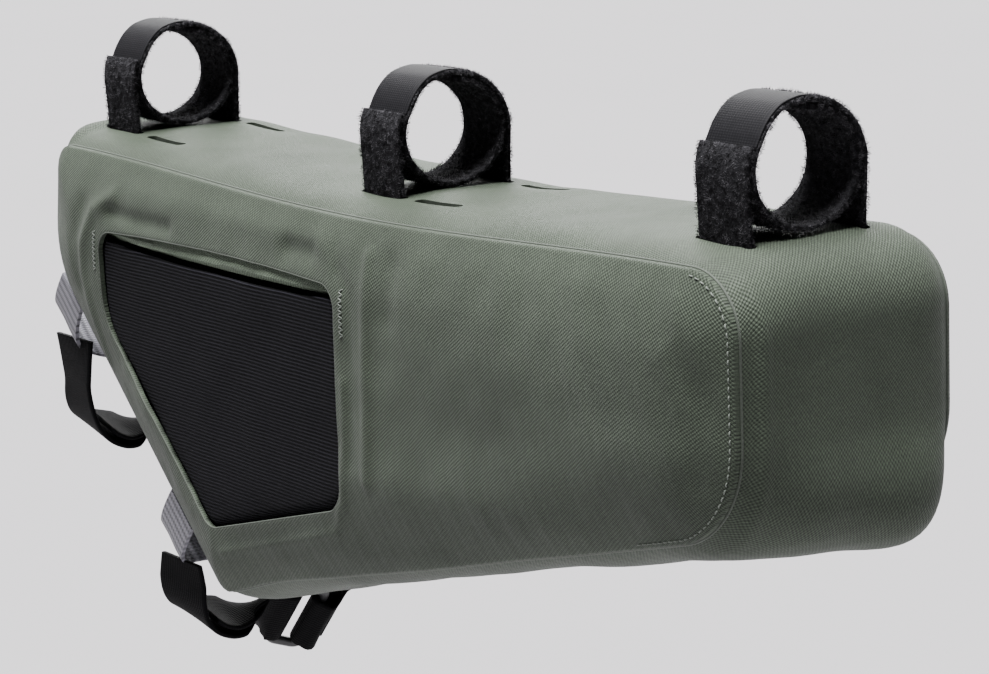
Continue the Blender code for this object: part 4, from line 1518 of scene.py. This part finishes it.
@dataclass
class SeamThread:
    """Stitches that show on the near side: the front seam's row and the pocket's bar tacks."""

    stitch: float = 0.0015
    pitch: float = 0.0022
    thick: float = 0.00042
    inset: float = 0.0013
    piping: float = 0.00034
    seam_step: float = 0.0006
    line_step: float = 0.0016
    # Where the row of stitches runs: behind the front end, and where the seam faces forward
    row_back: float = 0.040
    row_facing: float = 0.02
    row_start: float = 0.001
    tacks: tuple = (((-0.1362, -0.0405), (-0.1368, -0.0535)),
                    ((0.0105, -0.0405), (0.0112, -0.0545)))
    tack_width: float = 0.0016
    tack_stitches: int = 17
    proud: float = 0.00015
    line_offset: float = 0.0001
    window_sink: float = 0.00005
    window_share: float = 0.65
    line_sides: int = 8

    def on_panel(self, points: Array, panel: SidePanel) -> Array:
        """Returns 3D places on the near panel's outer face at places in the XZ plane."""
        return np.stack([points[:, 0], -panel.stand(points), points[:, 1]], axis=1)

    def build(self, panel: SidePanel) -> bpy.types.Object:
        """Builds the stitches on the panel.

        Args:
            panel: The near panel.

        Returns:
            The dressed stitches.
        """
        seam = inset_loop(BAG.seam(self.seam_step), self.inset)
        keep = ((seam[:, 0] > BAG.front_end - self.row_back)
                & (loop_normals(seam)[:, 0] > self.row_facing))
        line = seam[keep]
        length = path_lengths(line)
        places = np.arange(self.row_start, length[-1] - self.stitch, self.pitch)
        ends = np.stack([np.interp(places + self.stitch, length, line[:, k]) for k in (0, 1)], 1)
        starts = np.stack([np.interp(places, length, line[:, k]) for k in (0, 1)], 1)
        number, half = np.arange(self.tack_stitches + 1), self.tack_width / 2
        for top, low in np.array(self.tacks):
            zigzag = top + (low - top) * (number / self.tack_stitches)[:, None]
            zigzag[:, 0] += np.where(number % 2, -half, half)
            starts = np.concatenate([starts, zigzag[:-1]])
            ends = np.concatenate([ends, zigzag[1:]])
        outward = np.tile(-Y_AXIS, (len(starts), 1))
        thread = stitches("near_stitches", self.on_panel(starts, panel),
                          self.on_panel(ends, panel), outward, self.thick)
        return dress(thread, THREAD, "coated_cloth")

    def build_lines(self, panel: SidePanel) -> list[bpy.types.Object]:
        """Builds the thin raised lines of the two seams and of the window's cut edge.

        Args:
            panel: The near panel.

        Returns:
            The dressed lines.
        """
        loop = inset_loop(BAG.seam(self.line_step), -self.line_offset)
        rows = [(f"seam_line_{side.name.lower()}",
                 np.stack([loop[:, 0], np.full(len(loop), side.value * (BAG.gusset_half
                                                                        + self.proud)),
                           loop[:, 1]], 1), self.piping) for side in Side]
        loop = inset_loop(panel.opening, -self.line_offset)
        rows.append(("window_line", self.on_panel(loop, panel) + Y_AXIS * self.window_sink,
                     self.piping * self.window_share))
        lines = [swept(name, path, Y_AXIS, round_profile(radius, self.line_sides), closed=True)
                 for name, path, radius in rows]
        return [dress(line, PIPING, "coated_cloth") for line in lines]


@dataclass
class ClosedZip:
    """The closed zip on the far side: two coated lips, a coil and a slider with its pull."""

    length: float = 0.290
    width: float = 0.011
    drop: float = 0.022
    bulge: float = 0.0020
    play: float = 0.0003
    end_share: float = 0.98
    end_step: float = 0.0012
    lip_trim: float = 0.0001
    lip_step: float = 0.0011
    lip_height: float = 0.0009
    lip_sink: float = 0.0008
    lip_power: float = 0.7
    lip_wall: float = 0.7
    coil_inset: float = 0.006
    coil_stations: int = 700
    coil_pitch: float = 0.0016
    coil_deep: float = 0.0004
    coil_wide: float = 0.0011
    coil_wire: float = 0.00032
    coil_sides: int = 6
    slider_run: float = 0.012
    slider_rise: float = 0.0007
    slider_half: float = 0.005
    slider_stations: int = 25
    slider_end: float = 0.25
    slider_power: float = 0.35
    slider_section: tuple = (0.0062, 0.0022)
    pull_knots: tuple = ((0.000, 0.0016, 0.000), (0.001, 0.0026, -0.004),
                         (0.0015, 0.0022, -0.012), (0.0016, 0.0018, -0.026))
    pull_stations: int = 40
    pull_section: tuple = (0.0045, 0.0011)

    def height(self) -> float:
        """Returns the zip's height."""
        return BAG.seam_top - BAG.top_sag - self.drop

    def slit(self, play: float) -> Array:
        """Returns the slit's loop with round ends, with play round the zip.

        Args:
            play: The gap round the zip, or a trim below 0.

        Returns:
            The loop's points in the XZ plane, (n, 2).
        """
        middle = (BAG.rear_end + BAG.front_end) / 2
        half, radius = self.length / 2 + play, self.width / 2 + play
        shape = np.array(((-half, radius), (half, radius), (half, -radius), (-half, -radius)))
        return rounded_loop(shape + (middle, self.height()), np.full(4, radius * self.end_share),
                            self.end_step)

    def build(self) -> list[bpy.types.Object]:
        """Builds the zip's tape with its lips, its coil and its slider."""
        loop = self.slit(-self.lip_trim)
        level = self.height()

        def stand(points: Array) -> Array:
            """Returns the lips' distance from the XZ plane: two crowned lips that meet.

            Args:
                points: Places in the XZ plane, (n, 2).

            Returns:
                One distance for each point.
            """
            share = np.abs(points[:, 1] - level) / (self.width / 2)
            lips = self.lip_height * np.sin(math.pi * np.clip(share, 0, 1)) ** self.lip_power
            return BAG.panel_stand(points, self.bulge) - self.lip_sink + lips

        tape, _ = trimmed_sheet("zip_lips", loop, [], self.lip_step, stand,
                                lambda at: stand(at) - BAG.cloth * self.lip_wall, Side.FAR)
        dress(tape, ZIP_TAPE, "zip_tape", "zip_strip")
        stations = np.linspace(loop[:, 0].min() + self.coil_inset,
                               loop[:, 0].max() - self.coil_inset, self.coil_stations)
        base = BAG.panel_stand(np.stack([stations, np.full(self.coil_stations, level)], 1),
                               self.bulge)
        turn = (stations - stations[0]) * 2 * math.pi / self.coil_pitch
        coil = np.stack([stations, base - self.coil_deep + self.coil_deep * np.cos(turn),
                         level + self.coil_wide * np.sin(turn)], axis=1)
        teeth = swept("zip_coil", coil, X_AXIS, round_profile(self.coil_wire, self.coil_sides))
        dress(teeth, MouldedPlastic(name="zip coil"), "zip_tape")
        middle = np.array((stations[0] + self.slider_run, float(base[0]) + self.slider_rise,
                           level))
        run = np.linspace(-self.slider_half, self.slider_half, self.slider_stations)
        girth = np.sin(np.linspace(self.slider_end, math.pi - self.slider_end,
                                   self.slider_stations)) ** self.slider_power
        profile = strap_profile(*self.slider_section)[None] * girth[:, None, None]
        slider = swept("zip_slider", middle + run[:, None] * X_AXIS, Z_AXIS, profile)
        dress(slider, MouldedPlastic(name="zip slider"), "zip_tape")
        pull = smooth_path(middle + np.array(self.pull_knots), self.pull_stations)
        tab = swept("zip_pull", pull, X_AXIS, strap_profile(*self.pull_section))
        dress(tab, BLACK_WEB, "zip_tape")
        return [tape, teeth, slider, tab]


@dataclass
class TopStrap:
    """A hook-and-loop strap, wrapped round the top tube's place and through two slots."""

    name: str
    place: float
    width: float = 0.020
    thickness: float = 0.0017
    bore_width: float = 0.0330
    bore_height: float = 0.0285
    layer_gap: float = 0.00035
    surface_gap: float = 0.0007
    slot_spread: float = 0.0187
    tail_lean: float = 24.0
    stations: int = 260
    fibres: int = 30000
    seed: int = 1
    bend_share: float = 1.2
    # Where the outer layer passes over the crest and dips under the tail, in degrees
    crest_end: float = 112
    dip_rows: tuple = ((122, 0.22), (131, 0.50), (140, 0.80))
    # The inner layer's arcs: start, end and count of knots
    inner_rows: tuple = ((149, 180, 4), (195, 440, 18))
    uneven_pitch: float = 0.05
    uneven_share: float = 0.012
    band_share: float = 0.985
    band_wall: float = 0.00050
    band_gap: float = 0.00010
    band_taper: int = 4
    band_least: float = 0.1
    band_drop: float = 0.02
    # The share of fibres on the faces, and how far all are thrown about, by chance and in waves
    face_share: float = 0.72
    throw: float = 0.45
    sway: float = 0.75
    clump_pitch: float = 0.0042
    sway_pitch: float = 0.0036
    clump_seed: int = 40
    sway_seed: int = 50
    fibre_length: tuple = (0.00035, 0.0010)
    fibre_spread: tuple = (0.55, 1.2)
    fibre_foot: float = 0.00016
    layer_stations: int = 12
    layer_share: float = 1.6

    @staticmethod
    def arc(centre: tuple, across: float, up: float, start: float, end: float, count: int
            ) -> list[tuple[float, float]]:
        """Returns points on an ellipse in the YZ plane, by angle in degrees from +Y."""
        angle = np.radians(np.linspace(start, end, count))
        return np.stack([centre[0] + across * np.cos(angle),
                         centre[1] + up * np.sin(angle)], axis=1).tolist()

    def knots(self) -> tuple[Array, int, int]:
        """Returns the strap's path and the numbers of the knots that bound its smooth band.

        The tail rises from the near slot. Below the top the strap crosses to the far slot,
        rises as the outer layer, passes over the crest, dips under the tail and runs on
        round as the inner layer.
        """
        floor = BAG.top_height(self.place)
        middle = floor + self.thickness + self.surface_gap + self.bore_height / 2
        inner = ((self.bore_width + self.thickness) / 2, (self.bore_height + self.thickness) / 2)
        step = self.thickness + self.layer_gap
        outer = (inner[0] + step, inner[1] + step)
        under = floor - BAG.cloth - self.surface_gap - self.thickness / 2
        bend = self.thickness * self.bend_share
        lower = floor + (middle - floor) / 2
        spread = self.slot_spread
        path = self.arc((0, middle), *outer, 180 - self.tail_lean, 180, 4)
        path += [(-(outer[0] + spread) / 2, lower), (-spread, floor), (-spread, under + bend)]
        path += self.arc((-spread + bend, under + bend), bend, bend, 210, 270, 3)
        path += self.arc((spread - bend, under + bend), bend, bend, 270, 330, 3)
        path += [(spread, under + bend), (spread, floor), ((outer[0] + spread) / 2, lower)]
        first = len(path) + 6
        path += self.arc((0, middle), *outer, 0, self.crest_end, 9)
        for angle, share in self.dip_rows:
            path += self.arc((0, middle), outer[0] - step * share, outer[1] - step * share,
                             angle, angle, 1)
        last = len(path) + 1
        for row in self.inner_rows:
            path += self.arc((0, middle), *inner, *row)
        flat = np.array(path)
        return np.stack([np.full(len(flat), self.place), flat[:, 0], flat[:, 1]], 1), first, last

    def build(self) -> list[bpy.types.Object]:
        """Builds the strap, its smooth woven band over the crest and its pile fibres."""
        knots, first, last = self.knots()
        path = smooth_path(knots, self.stations)
        chance = np.random.default_rng(self.seed)
        section = strap_profile(self.width, self.thickness)
        uneven = 1 + self.uneven_share * ripples(np.linspace(0, 1, self.stations)[:, None],
                                                 self.uneven_pitch, self.seed)
        profile = section[None] * np.stack([uneven, np.ones_like(uneven)], 1)[:, None]
        strap = swept(f"{self.name}_pile", path, X_AXIS, profile)
        dress(strap, PileCloth(), "pile_strap", self.name)

        start = int(np.linalg.norm(path - knots[first], axis=1).argmin())
        end = int(np.linalg.norm(path - knots[last], axis=1).argmin())
        run = unit(np.gradient(path, axis=0))
        normal = unit(np.cross(run, X_AXIS))
        centre = np.array((self.place, 0.0,
                           float(knots[first:last, 2].mean()) - self.band_drop))
        outward = np.sign((normal * (path - centre)).sum(1))[:, None] * normal
        cover = path[start:end] + outward[start:end] * (self.thickness / 2 + self.band_gap)
        number = np.arange(len(cover))
        ends = np.clip(np.minimum(number, number[::-1]) / self.band_taper, self.band_least, 1)
        shape = strap_profile(self.width * self.band_share, self.band_wall)
        shape = shape[None] * np.stack([np.ones_like(ends), ends], 1)[:, None]
        band = swept(f"{self.name}_band", cover, X_AXIS, shape)
        dress(band, SMOOTH_BAND, "pile_strap")

        spot = chance.uniform(0, self.stations - 1, self.fibres)
        index = spot.astype(int)
        share = (spot - index)[:, None]
        along = path[index] * (1 - share) + path[np.minimum(index + 1, self.stations - 1)] * share
        kind = chance.uniform(0, 1, self.fibres)
        face = np.where(chance.uniform(0, 1, self.fibres) < 0.5, 1.0, -1.0)
        edge = kind > self.face_share
        side = np.where(chance.uniform(0, 1, self.fibres) < 0.5, 1.0, -1.0)
        spread = chance.uniform(-1, 1, self.fibres) * self.width / 2
        wide = np.where(edge, side * self.width / 2, spread)
        deep = np.where(edge, chance.uniform(-1, 1, self.fibres), face) * self.thickness / 2
        roots = along + X_AXIS * wide[:, None] + outward[index] * deep[:, None]
        lean = np.where(edge[:, None], X_AXIS * side[:, None], outward[index] * face[:, None])
        lean = unit(lean + chance.normal(size=(self.fibres, 3)) * self.throw)
        covered = (index >= start) & (index < end) & (face > 0) & ~edge
        hidden = self.hidden(path, index, face, edge)
        keep = ~covered & ~hidden
        clump = ripples(roots, self.clump_pitch, self.seed + self.clump_seed) * 0.5 + 0.5
        sway = np.stack([ripples(roots, self.sway_pitch, self.seed + self.sway_seed + axis)
                         for axis in range(3)], 1)
        lean = unit(lean + self.sway * sway)
        least, gain = self.fibre_length
        lengths = (least + gain * np.clip(clump, 0, 1)) * chance.uniform(*self.fibre_spread,
                                                                         self.fibres)
        fibres = tufts(f"{self.name}_fibres", roots[keep], lean[keep], lengths[keep],
                       self.fibre_foot)
        # The fibres' paler tone is partly painted highlight.
        dress(fibres, FIBRES_WITH_PAINTED_HIGHLIGHT, "pile_strap")
        return [strap, band, fibres]

    def hidden(self, path: Array, index: Array, face: Array, edge: Array) -> Array:
        """Returns True for fibres that lie between two layers or inside the bag.

        Args:
            path: The strap's stations.
            index: The station that each fibre stands by.
            face: 1 for a fibre on the outward face and -1 for one on the inward face.
            edge: True for a fibre on the strap's edge.

        Returns:
            A boolean for each fibre.
        """
        below = path[index, 2] < BAG.top_height(self.place) - BAG.cloth / 2
        probe = path[index]
        far = np.abs(index[:, None] - np.arange(len(path))[None]) > self.layer_stations
        gaps = np.linalg.norm(probe[:, None] - path[None], axis=2)
        gaps = np.where(far, gaps, 1.0)
        nearest = gaps.argmin(1)
        tight = gaps.min(1) < self.thickness * self.layer_share
        run = unit(np.gradient(path, axis=0))
        normal = np.cross(run, X_AXIS)
        centre = np.array((self.place, 0.0, 0.0))
        sign = np.sign((normal * (path - centre)).sum(1))[:, None]
        toward = ((path[nearest] - probe) * (normal * sign)[index]).sum(1) * face > 0
        return below | (tight & toward & ~edge)


@dataclass
class SeatKeeper:
    """A bowed band of grey webbing on the slanted rear edge, cut aslant at its lower end."""

    name: str
    start: float
    length: float
    bulge: float
    short_share: float
    web: float = 0.0013
    span: float = 0.026
    inset: float = 0.0010
    sewn_gap: float = 0.00035
    stations: int = 61
    rows: int = 24
    crease: int = 50
    bow_power: float = 0.7
    squareness: int = 8
    cut_power: float = 1.3
    wave: float = 0.00025
    wave_turns: float = 9.0
    wave_lean: float = 2.0

    def height(self, across: Array) -> Array:
        """Returns the middle surface's stand-off from the edge line, by its Y place.

        Args:
            across: Y places.

        Returns:
            One stand-off for each place.
        """
        middle = -BAG.gusset_half + self.inset + self.span / 2
        share = np.clip(np.abs(across - middle) / (self.span / 2), 0, 1)
        return BAG.edge_crown + self.sewn_gap + self.bulge * np.sqrt(1 - share ** self.squareness)

    def build(self) -> bpy.types.Object:
        """Builds the keeper: its reach along the edge grows from the near to the far leg."""
        upper, along, outward = BAG.edge_frame()
        turn = np.linspace(0, math.pi, self.stations)
        bow = np.sign(np.cos(turn)) * np.abs(np.cos(turn)) ** self.bow_power
        across = -BAG.gusset_half + self.inset + self.span / 2 * (1 - bow)
        height = self.height(across)
        share = np.linspace(0, 1, self.stations) ** self.cut_power
        reach = self.length * (self.short_share + (1 - self.short_share) * share)
        rows = np.linspace(0, 1, self.rows)[:, None]
        wave = self.wave * np.sin(rows * self.wave_turns + turn[None] * self.wave_lean)
        points = (upper + along * (self.start + rows * reach[None])[:, :, None]
                  + outward * (height[None] + wave * np.sin(turn)[None])[:, :, None])
        points[:, :, 1] = across[None]
        arch = path_lengths(np.stack([across, height], 1))
        keeper = lattice(f"{self.name}_web", points, arch,
                         np.linspace(0, self.length, self.rows))
        give_wall(keeper, self.web, 0, True)
        bake(keeper, self.crease)
        face_outwards(keeper)
        return dress(keeper, GREY_WEB, "grey_webbing", self.name)


@dataclass
class SeatStrap:
    """A thin strap that hangs as a loop, its buckle and the tab behind the buckle."""

    name: str
    keeper: SeatKeeper
    centre_along: float
    leg: float
    depth: float
    turn: float
    loop_width: float = 0.0584
    web_width: float = 0.025
    web: float = 0.0016
    layer_spread: float = 0.0032
    bar: float = 0.0034
    reach: float = 0.0105
    side_play: float = 0.0030
    shift: float = 0.0058
    tilt: float = 48.0
    dip: float = 27.0
    tab_tail: float = 0.0075
    bar_gap: float = 0.0005
    sewn_gap: float = 0.00035
    layer_start: int = 4
    layer_ease: int = 4
    strap_stations: int = 240
    tab_stations: int = 160
    buckle_corner: float = 0.75
    buckle_step: float = 0.0008
    buckle_sides: int = 18
    strap_bowl: tuple = (
        (-1.000, 0.00, 0.00, 0.0), (-0.995, 0.25, -0.03, 0.0), (-0.970, 0.44, -0.08, 0.0),
        (-0.920, 0.61, -0.15, 0.0), (-0.830, 0.755, -0.22, 0.0), (-0.700, 0.87, -0.27, 0.0),
        (-0.540, 0.945, -0.27, 0.0), (-0.360, 0.98, -0.12, 0.05), (-0.200, 0.99, 0.28, 0.25),
        (-0.080, 0.98, 0.72, 0.55), (0.030, 1.00, 1.00, 0.8), (0.137, 1.06, 1.00, 1.0))
    tab_bowl: tuple = (
        (0.80, 0.98, 0.72, 1.1), (0.90, 0.82, 0.42, 0.8), (0.965, 0.58, 0.18, 0.4),
        (0.995, 0.30, 0.05, 0.15), (1.000, 0.00, 0.00, 0.0))

    def places(self) -> tuple[float, float, float, float]:
        """Returns the loop's X place, the tops of its near and far legs, and its rim."""
        upper, along, outward = BAG.edge_frame()
        inner = -(self.loop_width - self.web) / 2
        near_out = (float(self.keeper.height(np.array(inner))) + self.keeper.web / 2
                    + self.sewn_gap)
        far_out = (BAG.edge_crown * (1 - abs(inner / BAG.gusset_half) ** BAG.band_flatness)
                   + self.sewn_gap)
        near_top = upper + along * self.centre_along + outward * near_out
        far_top = near_top[2] - (near_out - far_out) / outward[2]
        return near_top[0], near_top[2], far_top, near_top[2] - self.leg

    def bowl(self, rows: tuple, place: float, rim: float, turn: float) -> tuple[Array, Array]:
        """Returns the centres and width directions along a bowl's rows.

        Args:
            rows: For each station its share across, its share down, its tilt and its shift.
            place: The loop's X place.
            rim: The height of its rim.
            turn: How far its low part is turned, in degrees.

        Returns:
            The centres and the unit width directions, (n, 3) each.
        """
        across, down, tilt, shift = np.array(rows).T
        lean = np.radians(tilt * self.tilt)
        heading = math.radians(turn) * np.clip(1 - down, 0, None)
        widths = unit(np.stack([np.cos(lean) * np.cos(heading), np.sin(heading),
                                np.sin(lean)], axis=1))
        centres = np.stack([place + shift * self.shift, across * self.loop_width / 2,
                            rim - down * self.depth], axis=1)
        return centres, widths

    @staticmethod
    def upward(run: Array, width: Array) -> Array:
        """Returns the unit normals of a strap's face that point up."""
        normal = unit(np.cross(run, width))
        return np.where(normal[..., 2:3] < 0, -normal, normal)

    def ribbon(self, name: str, centres: Array, widths: Array, count: int
               ) -> bpy.types.Object:
        """Builds a webbing ribbon through centres and width directions.

        Args:
            name: The piece's name.
            centres: The path's knots, (n, 3).
            widths: The width directions there, (n, 3).
            count: How many stations it has.

        Returns:
            The dressed ribbon.
        """
        stations = smooth_path(np.concatenate([centres, widths], axis=1), count)
        piece = swept(name, stations[:, :3], unit(stations[:, 3:]),
                      strap_profile(self.web_width, self.web))
        return dress(piece, BLACK_WEB, "black_webbing", name.replace("_web", ""))

    def build(self) -> list[bpy.types.Object]:
        """Builds the strap, the tab and the buckle from the same places as their solids."""
        _, along, _ = BAG.edge_frame()
        place, near_top, far_top, rim = self.places()
        half = self.loop_width / 2
        radius = self.bar / 2 + self.bar_gap + self.web / 2
        tilt, dip = math.radians(self.tilt), math.radians(self.dip)
        side = np.array((math.cos(tilt), 0, math.sin(tilt)))
        run = np.array((math.sin(dip) * side[2], math.cos(dip), -math.sin(dip) * side[0]))
        normal = self.upward(run, side)
        bowl, wide = self.bowl(self.strap_bowl, place, rim, self.turn)
        runs = np.concatenate([bowl[1:2] - bowl[:1], bowl[2:] - bowl[:-2],
                               bowl[-1:] - bowl[-2:-1]])
        runs = unit(runs)
        runs[-2:] = run
        near_hub = bowl[-1] + normal * radius
        far_hub = near_hub + run * self.reach
        share = np.arange(3)[:, None] / 3
        legs = np.concatenate([np.full((3, 1), place), np.full((3, 1), -half),
                               near_top - self.leg * share], axis=1)
        leg_wide = along + (wide[0] - along) * share
        turns = (math.pi * np.arange(1, 6) / 6)[:, None]
        wrap = near_hub - normal * radius * np.cos(turns) + run * radius * np.sin(turns)
        order = np.arange(len(bowl) - 1, self.layer_start - 1, -1)
        ease = np.clip(1 - (len(bowl) - 2 - order) / self.layer_ease, 0, 1)
        lift = self.layer_spread + (2 * radius - self.layer_spread) * ease
        back = bowl[order] + self.upward(runs[order], wide[order]) * lift[:, None]
        strap = self.ribbon(f"seat_strap_{self.name}_web",
                            np.concatenate([legs, bowl, wrap, back]),
                            np.concatenate([leg_wide, wide, np.tile(side, (5, 1)), wide[order]]),
                            self.strap_stations)
        start = far_hub - normal * radius
        steps = np.array((self.tab_tail, self.tab_tail / 2, 0))[:, None]
        tail = far_hub + normal * radius + run * steps
        wrap = far_hub - normal * radius * np.cos(turns) - run * radius * np.sin(turns)
        bowl, wide = self.bowl(self.tab_bowl, place, rim, 0)
        share = np.arange(1, 4)[:, None] / 3
        rise = np.concatenate([np.full((3, 1), place), np.full((3, 1), half),
                               rim + (far_top - rim) * share], axis=1)
        rise_wide = np.concatenate([np.ones((3, 1)), np.zeros((3, 1)),
                                    along[2] / along[0] * share ** 3], axis=1)
        lead = np.stack([start, start + run * self.tab_tail / 2])
        tab = self.ribbon(f"buckle_tab_{self.name}_web",
                          np.concatenate([tail, wrap[::-1], lead, bowl, rise]),
                          np.concatenate([np.tile(side, (10, 1)), wide, unit(rise_wide)]),
                          self.tab_stations)
        return [strap, tab, self.buckle(near_hub, run, side)]

    def buckle(self, hub: Array, run: Array, side: Array) -> bpy.types.Object:
        """Builds the buckle: one round bar led round a rectangle with rounded corners.

        Args:
            hub: The centre of the bar that the strap wraps.
            run: The direction from that bar to the other.
            side: The bar's own direction.

        Returns:
            The dressed buckle.
        """
        half = self.web_width / 2 + self.side_play
        corners = np.array(((-half, self.reach), (half, self.reach), (half, 0), (-half, 0)))
        loop = rounded_loop(corners, np.full(4, self.bar * self.buckle_corner),
                            self.buckle_step)
        path = hub + side * loop[:, 0:1] + run * loop[:, 1:2]
        normal = unit(np.cross(side, run))
        frame_bar = swept(f"seat_buckle_{self.name}_bar", path, normal,
                          round_profile(self.bar / 2, self.buckle_sides), closed=True)
        return dress(frame_bar, MouldedPlastic(), "buckle_plastic", f"seat_buckle_{self.name}")


@dataclass
class Studio:
    """The pale floor, the soft lights and the camera at the photograph's angle."""

    camera_place: tuple = (0.71459, -0.48213, 0.11459)
    right: tuple = (0.57937794, 0.81420915, -0.03721364)
    up: tuple = (-0.14321079, 0.14664128, 0.97876811)
    ahead: tuple = (-0.802379, 0.5617471, -0.20156424)
    lens: float = 108.137
    floor_level: float = -0.45
    sky: float = 0.07
    sky_colour: tuple = (0.98, 0.98, 1.0, 1)
    floor_reach: float = 30.0
    paper_size: float = 0.4
    paper: tuple = ((0.229, 0.223, 0.230), (0.236, 0.230, 0.237))
    paper_roughness: float = 0.9
    paper_relief: float = 0.0005
    # For each light its name, where it comes from, its spread in degrees and its power
    lights: tuple = (("overhead", (-0.03, -0.12, 0.99), 30.0, 22.0),
                     ("behind", (-0.72, 0.50, 0.46), 46.0, 3.5))
    sensor: float = 36.0
    clip: tuple = (0.01, 100.0)

    def soft_light(self, name: str, towards: tuple, spread: float, power: float) -> None:
        """Adds a far, wide light that comes from a direction and spreads by degrees.

        Args:
            name: The light's name.
            towards: The direction that it comes from.
            spread: Its angle in degrees.
            power: Its strength.
        """
        data = bpy.data.lights.new(name, "SUN")
        data.angle, data.energy = math.radians(spread), power
        lamp = link(name, data)
        lamp.rotation_euler = (-Vector(towards)).to_track_quat("-Z", "Y").to_euler()

    def build(self) -> None:
        """Sets the world, floor, lights and camera."""
        world = bpy.data.worlds.new("studio")
        world.use_nodes = True
        inputs = world.node_tree.nodes["Background"].inputs
        inputs[0].default_value, inputs[1].default_value = self.sky_colour, self.sky
        bpy.context.scene.world = world
        mesh = bpy.data.meshes.new("studio_floor")
        mesh.from_pydata([(self.floor_reach * x, self.floor_reach * y, self.floor_level)
                          for x, y in ((-1, -1), (1, -1), (1, 1), (-1, 1))],
                         [], [(0, 1, 2, 3)])
        floor = link("studio_floor", mesh)
        bench = Bench("pale floor")
        paper = bench.noise(self.paper_size)
        mesh.materials.append(bench.finish(bench.ramp(paper, *self.paper), self.paper_roughness,
                                           paper, self.paper_relief, 0.0))
        for light in self.lights:
            self.soft_light(*light)
        data = bpy.data.cameras.new("camera")
        data.sensor_width, data.lens = self.sensor, self.lens
        data.clip_start, data.clip_end = self.clip
        camera = link("camera", data)
        axes = Matrix((self.right, self.up, tuple(-value for value in self.ahead))).transposed()
        camera.matrix_world = Matrix.Translation(self.camera_place) @ axes.to_4x4()
        bpy.context.scene.camera = camera


def main() -> None:
    """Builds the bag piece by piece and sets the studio."""
    logging.basicConfig(level=logging.INFO, format="%(name)s: %(message)s")
    zip_line = ClosedZip()
    pocket = StretchPocket()
    near = SidePanel(Side.NEAR, pocket.near_bulge, NEAR_FOLDS, WINDOW.loop(0.0, 0.0),
                     "near_panel")
    far = SidePanel(Side.FAR, zip_line.bulge, FAR_FOLDS, zip_line.slit(zip_line.play),
                    "far_panel", rim=0.0022)
    near.build()
    far.build()
    GussetBand().build()
    pocket.build_mesh()
    pocket.build_back()
    thread = SeamThread()
    thread.build(near)
    thread.build_lines(near)
    zip_line.build()
    for seed, (name, place) in enumerate((("rear", -0.156), ("middle", 0.0), ("front", 0.154))):
        TopStrap(f"top_strap_{name}", place, seed=seed + 1).build()
    upper = SeatKeeper("seat_keeper_upper", 0.0025, 0.038, 0.0183, 0.42)
    lower = SeatKeeper("seat_keeper_lower", 0.0945, 0.018, 0.0203, 0.90)
    for keeper in (upper, lower):
        keeper.build()
    SeatStrap("upper", upper, 0.0164, 0.0162, 0.0210, -9.0).build()
    SeatStrap("lower", lower, 0.1088, 0.0080, 0.0170, 6.0).build()
    Studio().build()


if __name__ == "__main__":
    main()
